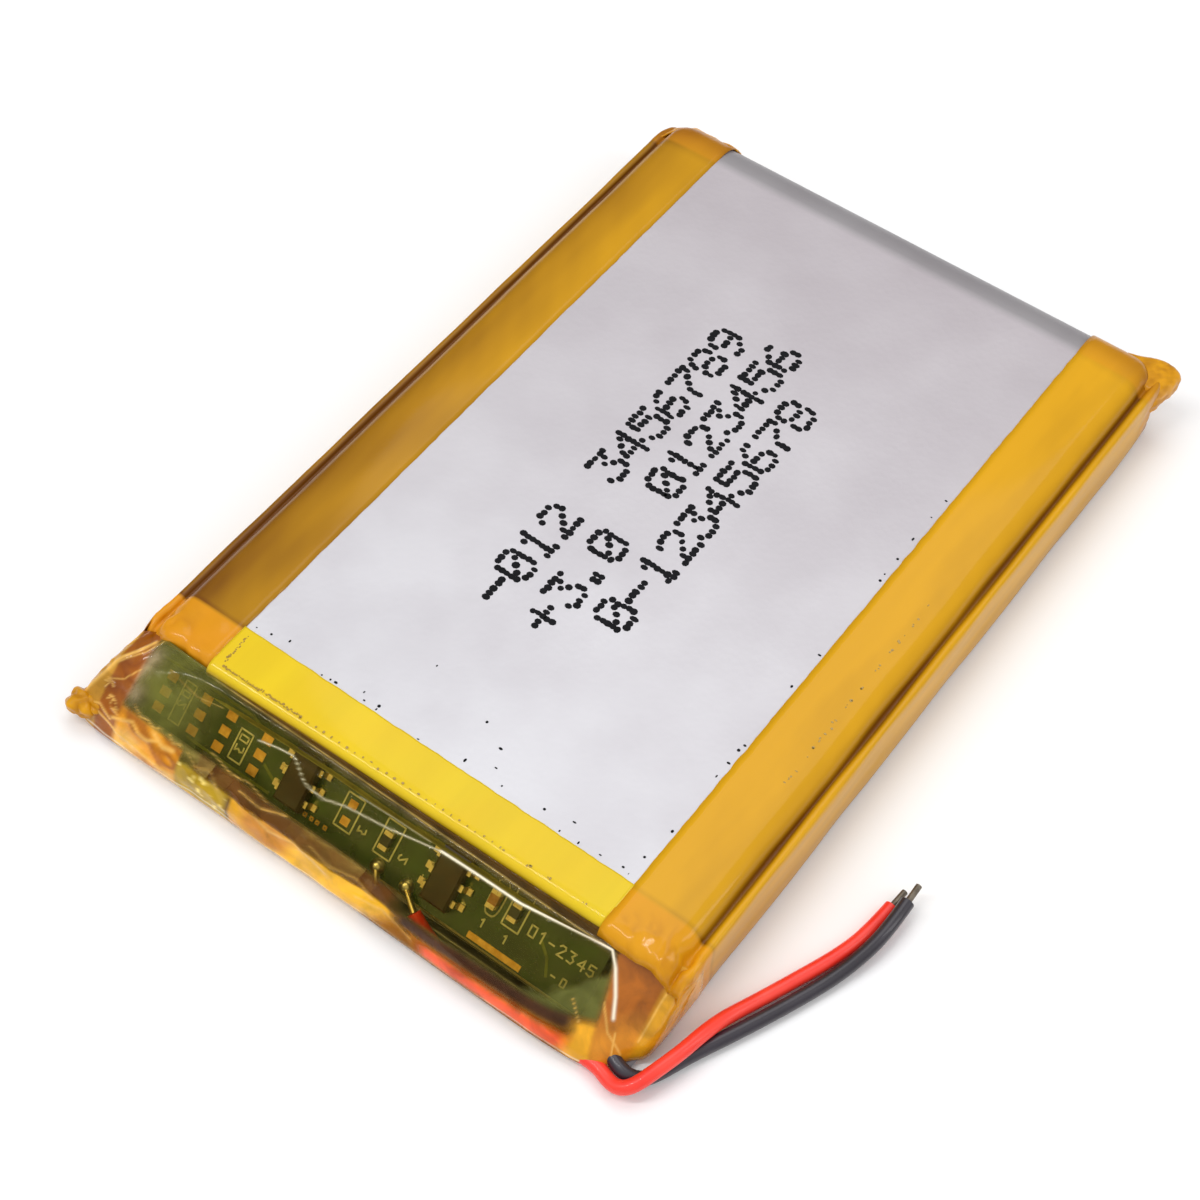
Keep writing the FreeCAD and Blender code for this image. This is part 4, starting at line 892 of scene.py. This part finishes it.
def dot_centres():
    """Row r, column c of a sign's grid lies at (top + r * pitch, start + c * pitch); 1 is a dot."""
    centres = []
    for text, top, start in PRINT:
        for number, sign in enumerate(text):
            cells = np.array([[int(k) for k in row] for row in SIGNS[sign].split()])
            row, column = np.nonzero(cells)
            centres.append(np.stack([top + row * DOT_PITCH_X,
                                     start + number * SIGN_ADVANCE + column * DOT_PITCH_Y], -1))
    return np.concatenate(centres)


def face_height(xy):
    """The height of the silver face under each point, by picking its nearest grid point."""
    grid = face_sheet()[:, :130]
    column = np.clip(np.rint((xy[:, 0] + 13.0) / 26.0 * 89).astype(int), 0, 89)
    row = np.clip(np.rint((xy[:, 1] + 19.0) / (FOLD_START + 19.0) * 130).astype(int), 0, 129)
    return grid[column, row, 2]


def drops(name, centres, radii, height, finish):
    """Eight-sided discs: rim points at radius times (cos, sin), one n-sided face each, with a rim
    wall; radii may be one number or one for each disc and each of x and y."""
    count = len(centres)
    angle = np.arange(8) * np.pi / 4
    ring = np.stack([np.cos(angle), np.sin(angle)], -1)
    flat = centres[:, None, :2] + ring[None] * np.broadcast_to(radii, (count, 2))[:, None, :]
    low = np.concatenate([flat, np.broadcast_to(centres[:, None, 2:], (count, 8, 1))], -1)
    high = low + (0, 0, height)
    high[..., :2] = centres[:, None, :2] + (high[..., :2] - centres[:, None, :2]) * 0.86
    vertices = np.concatenate([low, high], 1).reshape(-1, 3)
    base = np.arange(count)[:, None] * 16
    k = np.arange(8)
    walls = np.stack([k, (k + 1) % 8, (k + 1) % 8 + 8, k + 8], -1)
    faces = (base[:, :, None] + walls[None]).reshape(-1, 4).tolist()
    faces += (base + (k + 8)[None]).tolist() + (base + k[::-1][None]).tolist()
    mesh = bpy.data.meshes.new(name)
    mesh.from_pydata((vertices * MM).tolist(), [], faces)
    mesh.materials.append(finish)
    piece = bpy.data.objects.new(name, mesh)
    scene.collection.objects.link(piece)
    print(name, "drops", count)
    return piece


ink, tree, output, place = material("black_inkjet_ink")
uneven = add(tree, "ShaderNodeTexNoise", {"Scale": per(0.67), "Detail": 2.0}, {"Vector": place})
shade = add(tree, "ShaderNodeValToRGB", links={"Fac": uneven.outputs["Fac"]})
shade.color_ramp.elements[0].color = colour("#08080A")
shade.color_ramp.elements[1].color = colour("#1C1C20")
shader = add(tree, "ShaderNodeBsdfPrincipled", {"Roughness": 0.55, "Specular IOR Level": 0.1},
             {"Base Color": shade.outputs["Color"]})
tree.links.new(shader.outputs[0], output.inputs[0])

chance = np.random.default_rng(7)
spots = dot_centres()
spots = spots + chance.normal(0, 0.028, spots.shape)
places = np.column_stack([spots, face_height(spots) + 0.004])
sizes = DOT_RADIUS * (1 + chance.normal(0, 0.10, (len(spots), 2))) * (1.16, 1.0)
tell(drops("printed_numbers", places, sizes, 0.012, ink), "laminate")

# Loose specks of ink and dirt on the face, mostly along the front tape's cut edge.
specks = np.concatenate([
    np.column_stack([chance.uniform(-12, 12, 18), -17.95 + np.abs(chance.normal(0, 0.35, 18))]),
    np.column_stack([12.15 - np.abs(chance.normal(0, 0.15, 14)), chance.uniform(-17, 12, 14)]),
    np.array([[2.6, -15.9], [3.1, -16.9], [1.1, -15.1], [8.0, -17.0], [6.4, -17.3], [-3.0, -14.0]])])
places = np.column_stack([specks, face_height(specks) + 0.004])
sizes = np.abs(chance.normal(0.05, 0.025, (len(specks), 2))) + 0.02
tell(drops("ink_specks", places, sizes, 0.01, ink), "laminate")

# %% [markdown]
# ## Trapped air
# Small bubbles under the tape show as a dotted brown line, along the bend of the front tape and
# on the right shoulder, where the film was laid last.

# %% Bubbles under the tape
bubble, tree, output, place = material("air_under_amber_film")
shader = add(tree, "ShaderNodeBsdfPrincipled", {"Base Color": colour("#A5821A"), "Roughness": 0.25,
                                               "Coat Weight": 0.5})
mottle = add(tree, "ShaderNodeTexNoise", {"Scale": per(0.25)}, {"Vector": place})
bump = add(tree, "ShaderNodeBump", {"Strength": 0.3, "Distance": 0.00002}, {"Height": mottle.outputs["Fac"]})
tree.links.new(bump.outputs[0], shader.inputs["Normal"])
tree.links.new(shader.outputs[0], output.inputs[0])
row = np.concatenate([np.linspace(-11.6, -6.5, 40), np.linspace(-6.5, 6.0, 26), chance.uniform(6, 12, 8)])
bend = np.column_stack([row, -20.32 + 0.2 * row / 12.3 * 0.97 + chance.normal(0, 0.035, len(row)),
                        np.full(len(row), 4.985)])
corner = np.column_stack([-11.75 + chance.normal(0, 0.05, 16), np.linspace(-18.4, -20.2, 16),
                          np.full(16, 5.004)])
shoulder = np.column_stack([14.9 + chance.normal(0, 0.04, 34), np.linspace(-9.5, 3.5, 34)
                            + chance.normal(0, 0.3, 34), np.full(34, 4.998)])
places = np.concatenate([bend, corner, shoulder])
sizes = np.abs(chance.normal(0.045, 0.02, (len(places), 2))) + 0.015
tell(drops("trapped_bubbles", places, sizes, 0.012, bubble), "polyimide_tape")

# %% [markdown]
# ## Board
# The board is glass epoxy under green solder mask, with gold-plated pads.  Its white print,
# outlines round the parts and a few numbers, is a thin ink line 0.09 mm wide.  The lines are
# flat ribbons laid on the board's tilted face.

# %% Board print
BOARD_TOP_Y, BOARD_TOP_Z, BOARD_TILT = -21.0, 4.0, math.radians(39.4)


def on_board(x, down, up):
    """A place on the board: x along it, down its slope, up off its face, turned by its tilt."""
    y = BOARD_TOP_Y - down * math.cos(BOARD_TILT) - up * math.sin(BOARD_TILT)
    z = BOARD_TOP_Z - down * math.sin(BOARD_TILT) + up * math.cos(BOARD_TILT)
    return np.stack(np.broadcast_arrays(x, y, z), -1)


def ribbons(name, strokes, width, lift, finish):
    """Each segment of each stroke becomes a rectangle: its ends moved half a width sideways."""
    starts = np.concatenate([np.asarray(s, float)[:-1] for s in strokes])
    ends = np.concatenate([np.asarray(s, float)[1:] for s in strokes])
    step = ends - starts
    unit = step / np.maximum(np.linalg.norm(step, axis=1, keepdims=True), 1e-9)
    side = np.stack([-unit[:, 1], unit[:, 0]], -1) * width / 2
    starts, ends = starts - unit * width / 2, ends + unit * width / 2
    corners = np.stack([starts + side, starts - side, ends - side, ends + side], 1).reshape(-1, 2)
    vertices = on_board(corners[:, 0], corners[:, 1], lift)
    mesh = bpy.data.meshes.new(name)
    mesh.from_pydata((vertices * MM).tolist(), [], np.arange(len(vertices)).reshape(-1, 4).tolist())
    mesh.materials.append(finish)
    piece = bpy.data.objects.new(name, mesh)
    scene.collection.objects.link(piece)
    wall = piece.modifiers.new("ink_thickness", "SOLIDIFY")
    wall.thickness = 0.012 * MM
    wall.offset = 0
    print(name, "strokes", len(starts))
    return piece


def box_outline(x0, x1, s0, s1):
    """The five points round a rectangle on the board."""
    return [(x0, s0), (x1, s0), (x1, s1), (x0, s1), (x0, s0)]


def round_outline(x0, x1, s0, s1, power=3.0):
    """A closed superellipse between the same limits, for the outline with round ends."""
    turn = np.linspace(0, 2 * np.pi, 25)
    c, s = np.cos(turn), np.sin(turn)
    return np.stack([(x0 + x1) / 2 + (x1 - x0) / 2 * np.sign(c) * np.abs(c) ** (2 / power),
                     (s0 + s1) / 2 + (s1 - s0) / 2 * np.sign(s) * np.abs(s) ** (2 / power)], -1)


# Strokes of the numbers in a cell 1 wide and 1 high, y up.
NUMERALS = {"0": [(0, 0), (0.7, 0), (0.7, 1), (0, 1), (0, 0)], "1": [(0.1, 0.8), (0.4, 1), (0.4, 0)],
            "2": [(0, 0.85), (0.2, 1), (0.6, 1), (0.7, 0.75), (0, 0), (0.75, 0)],
            "3": [(0, 1), (0.7, 1), (0.35, 0.6), (0.7, 0.35), (0.5, 0), (0, 0.05)],
            "4": [(0.6, 0), (0.6, 1), (0, 0.35), (0.8, 0.35)], "-": [(0, 0.5), (0.6, 0.5)],
            "5": [(0.7, 1), (0, 1), (0, 0.55), (0.6, 0.6), (0.7, 0.2), (0.4, 0), (0, 0.1)]}


def numerals(text, x, down, height, advance, turned=False):
    """Strokes of the text from its lower left corner; turned writes it down the slope."""
    strokes = []
    for number, sign in enumerate(text):
        cell = np.array(NUMERALS[sign]) * height * (0.85, 1.0)
        if turned:
            strokes.append(np.stack([x - cell[:, 1] + height, down + cell[:, 0] + number * advance], -1))
        else:
            strokes.append(np.stack([x + cell[:, 0] + number * advance, down - cell[:, 1] + height], -1))
    return strokes


board_ink, tree, output, place = material("white_board_print")
fade = add(tree, "ShaderNodeTexNoise", {"Scale": per(0.4)}, {"Vector": place})
shade = add(tree, "ShaderNodeValToRGB", links={"Fac": fade.outputs["Fac"]})
shade.color_ramp.elements[0].color = colour("#9FA382")
shade.color_ramp.elements[1].color = colour("#DADAC2")
shader = add(tree, "ShaderNodeBsdfPrincipled", {"Roughness": 0.5}, {"Base Color": shade.outputs["Color"]})
tree.links.new(shader.outputs[0], output.inputs[0])

outlines = [box_outline(-13.3, -12.6, 0.8, 3.08), box_outline(-9.3, -8.5, 1.25, 2.93),
            box_outline(-2.45, -1.4, 0.8, 2.65), box_outline(0.1, 1.15, 0.75, 2.65),
            round_outline(6.6, 7.4, 0.06, 2.0), box_outline(7.75, 8.75, 0.05, 1.97)]
labels = (numerals("02", -13.2, 1.3, 0.45, 0.6, True) + numerals("03", -9.15, 1.5, 0.5, 0.6, True)
          + numerals("3", -1.1, 2.0, 0.45, 0.5, True) + numerals("2", 1.5, 2.0, 0.45, 0.5, True)
          + numerals("1", 6.8, 2.3, 0.4, 0.5) + numerals("1", 8.2, 2.35, 0.4, 0.5)
          + numerals("01-2345", 9.2, 1.15, 0.55, 0.58) + numerals("-0", 11.2, 2.5, 0.4, 0.6))
tell(ribbons("board_print", outlines + labels, 0.085, 0.012, board_ink), "ceramic_block")

# %% Copper tracks and plated holes under the mask
gold, tree, output, place = material("gold_plated_copper")
uneven = add(tree, "ShaderNodeTexNoise", {"Scale": per(1.1), "Detail": 3.0}, {"Vector": place})
shade = add(tree, "ShaderNodeValToRGB", links={"Fac": uneven.outputs["Fac"]})
shade.color_ramp.elements[0].color = colour("#D9A04C")
shade.color_ramp.elements[1].color = colour("#FFD88A")
shader = add(tree, "ShaderNodeBsdfPrincipled", {"Metallic": 1.0, "Roughness": 0.35},
             {"Base Color": shade.outputs["Color"]})
tree.links.new(shader.outputs[0], output.inputs[0])

mask_track, tree, output, place = material("copper_track_under_solder_mask")
shader = add(tree, "ShaderNodeBsdfPrincipled", {"Base Color": colour("#5B6A26"), "Roughness": 0.25,
                                               "Coat Weight": 0.4})
tree.links.new(shader.outputs[0], output.inputs[0])
tracks = [[(10.0, 1.58), (10.6, 2.1), (10.98, 2.88)], [(-7.2, 2.2), (-6.2, 2.7), (-4.6, 3.0)],
          [(-15.2, 0.4), (-9.0, 0.4), (-7.5, 0.9)], [(1.6, 0.35), (6.2, 0.35)], [(-11.8, 3.3), (-6.4, 3.3)]]
tell(ribbons("board_tracks", tracks, 0.16, 0.006, mask_track), "solder_mask")
holes = [box_outline(x0, x0 + 0.16, 3.02, 3.18) for x0 in (-4.1, -3.67, -3.3, -2.8)]
tell(ribbons("board_plated_holes", holes, 0.09, 0.02, gold), "gold_plate")

# %% [markdown]
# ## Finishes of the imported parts
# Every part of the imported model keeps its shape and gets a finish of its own.  A small table
# gives each real material, its colour range, metal share and roughness, and one loop builds a
# two-tone noise finish for it at the scale of its real grain.

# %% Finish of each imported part
# Name, darker and lighter tone, metallic, roughness, coat, pattern size in mm, bump.
FINISHES = {
    "copper_foil": ("graphite_coated_copper_foil", "#3A3A3C", "#58504A", 0.0, 0.7, 0.0, 0.5, 0.1),
    "oxide_foil": ("oxide_coated_aluminium_foil", "#2A2A2E", "#3C3C40", 0.0, 0.75, 0.0, 0.5, 0.1),
    "porous_film": ("porous_polyethylene_film", "#E8E8E4", "#F6F6F2", 0.0, 0.6, 0.0, 0.8, 0.05),
    "green_tape": ("green_polyester_tape", "#2F7A4A", "#3E9058", 0.0, 0.35, 0.3, 1.0, 0.05),
    "tab_aluminium": ("rolled_aluminium_tab", "#C9CACC", "#E4E5E6", 1.0, 0.32, 0.0, 0.6, 0.08),
    "tab_nickel": ("rolled_nickel_tab", "#B9B4A6", "#DAD5C8", 1.0, 0.3, 0.0, 0.6, 0.08),
    "tab_resin": ("polypropylene_tab_resin", "#E9E4D2", "#F4F0E2", 0.0, 0.5, 0.1, 0.8, 0.04),
    "fish_paper": ("barley_insulating_paper", "#C8B98E", "#DDD0A8", 0.0, 0.8, 0.0, 0.4, 0.2),
    "solder_mask": ("green_solder_mask", "#16300A", "#2C4A14", 0.0, 0.25, 0.5, 1.6, 0.05),
    "chip_epoxy": ("black_moulded_chip_epoxy", "#24140A", "#382214", 0.0, 0.5, 0.1, 0.3, 0.15),
    "tinned_metal": ("tinned_copper_alloy", "#D2BE92", "#F6E6BC", 1.0, 0.28, 0.0, 0.4, 0.1),
    "resistor_film": ("black_resistor_glaze", "#17171A", "#26262A", 0.0, 0.3, 0.4, 0.3, 0.05),
    "ceramic_block": ("tan_fired_ceramic", "#8A6038", "#A8794C", 0.0, 0.55, 0.0, 0.3, 0.1),
    "gold_plate": ("gold_plated_pads", "#D09A4A", "#F4C878", 1.0, 0.38, 0.0, 0.5, 0.08),
    "red_insulation": ("red_pvc_insulation", "#F02818", "#FF4230", 0.0, 0.38, 0.15, 2.0, 0.06),
    "black_insulation": ("black_pvc_insulation", "#1E1A22", "#302A34", 0.0, 0.36, 0.2, 2.0, 0.06),
    "bare_end": ("dull_tinned_copper_strands", "#5E564C", "#867C6E", 0.9, 0.45, 0.0, 0.4, 0.15),
    "solder": ("reflowed_solder", "#B8B4A8", "#DCD8CC", 1.0, 0.3, 0.0, 0.4, 0.12)}
made = {}
for slot, (name, dark, light, metal, rough, coat, size, strength) in FINISHES.items():
    finish, tree, output, place = material(name)
    grain = add(tree, "ShaderNodeTexNoise", {"Scale": per(size), "Detail": 4.0}, {"Vector": place})
    shade = add(tree, "ShaderNodeValToRGB", links={"Fac": grain.outputs["Fac"]})
    shade.color_ramp.elements[0].position, shade.color_ramp.elements[1].position = 0.3, 0.7
    shade.color_ramp.elements[0].color = colour(dark)
    shade.color_ramp.elements[1].color = colour(light)
    bump = add(tree, "ShaderNodeBump", {"Strength": strength, "Distance": 0.00005},
               {"Height": grain.outputs["Fac"]})
    worn = add(tree, "ShaderNodeMapRange", {"To Min": rough * 0.85, "To Max": rough * 1.15},
               {"Value": grain.outputs["Fac"]})
    shader = add(tree, "ShaderNodeBsdfPrincipled", {"Metallic": metal, "Coat Weight": coat},
                 {"Base Color": shade.outputs["Color"], "Roughness": worn.outputs[0],
                  "Normal": bump.outputs[0]})
    tree.links.new(shader.outputs[0], output.inputs[0])
    made[slot] = finish
made["laminate"] = laminate
made["polyimide_tape"] = side_finish

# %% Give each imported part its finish
SLOTS = {
    "anode_strip": "copper_foil", "cathode_strip": "oxide_foil", "inner_separator": "porous_film",
    "outer_separator": "porous_film", "roll_fixing_tape": "green_tape", "positive_tab": "tab_aluminium",
    "negative_tab": "tab_nickel", "positive_tab_sealant": "tab_resin", "negative_tab_sealant": "tab_resin",
    "terrace_paper": "fish_paper",
    "circuit_board": "solder_mask", "protection_chip": "chip_epoxy", "switching_chip": "chip_epoxy",
    "protection_chip_pins": "tinned_metal", "switching_chip_pins": "tinned_metal",
    "component_metal_ends": "tinned_metal", "filter_resistor": "resistor_film",
    "sense_resistor": "resistor_film", "filter_capacitor": "ceramic_block", "spare_pads": "gold_plate",
    "positive_weld_plate": "tab_nickel", "negative_weld_plate": "tab_nickel",
    "red_joint_strands": "tinned_metal", "black_joint_strands": "tinned_metal",
    "red_bare_end": "bare_end", "black_bare_end": "bare_end",
    "red_solder_joint": "solder", "black_solder_joint": "solder"}
for name, slot in SLOTS.items():
    mesh = nodes[name].data
    mesh.materials.clear()
    mesh.materials.append(made[slot])
red_lead.data.materials.append(made["red_insulation"])
black_lead.data.materials.append(made["black_insulation"])
print("finished", len(SLOTS), "packed parts")
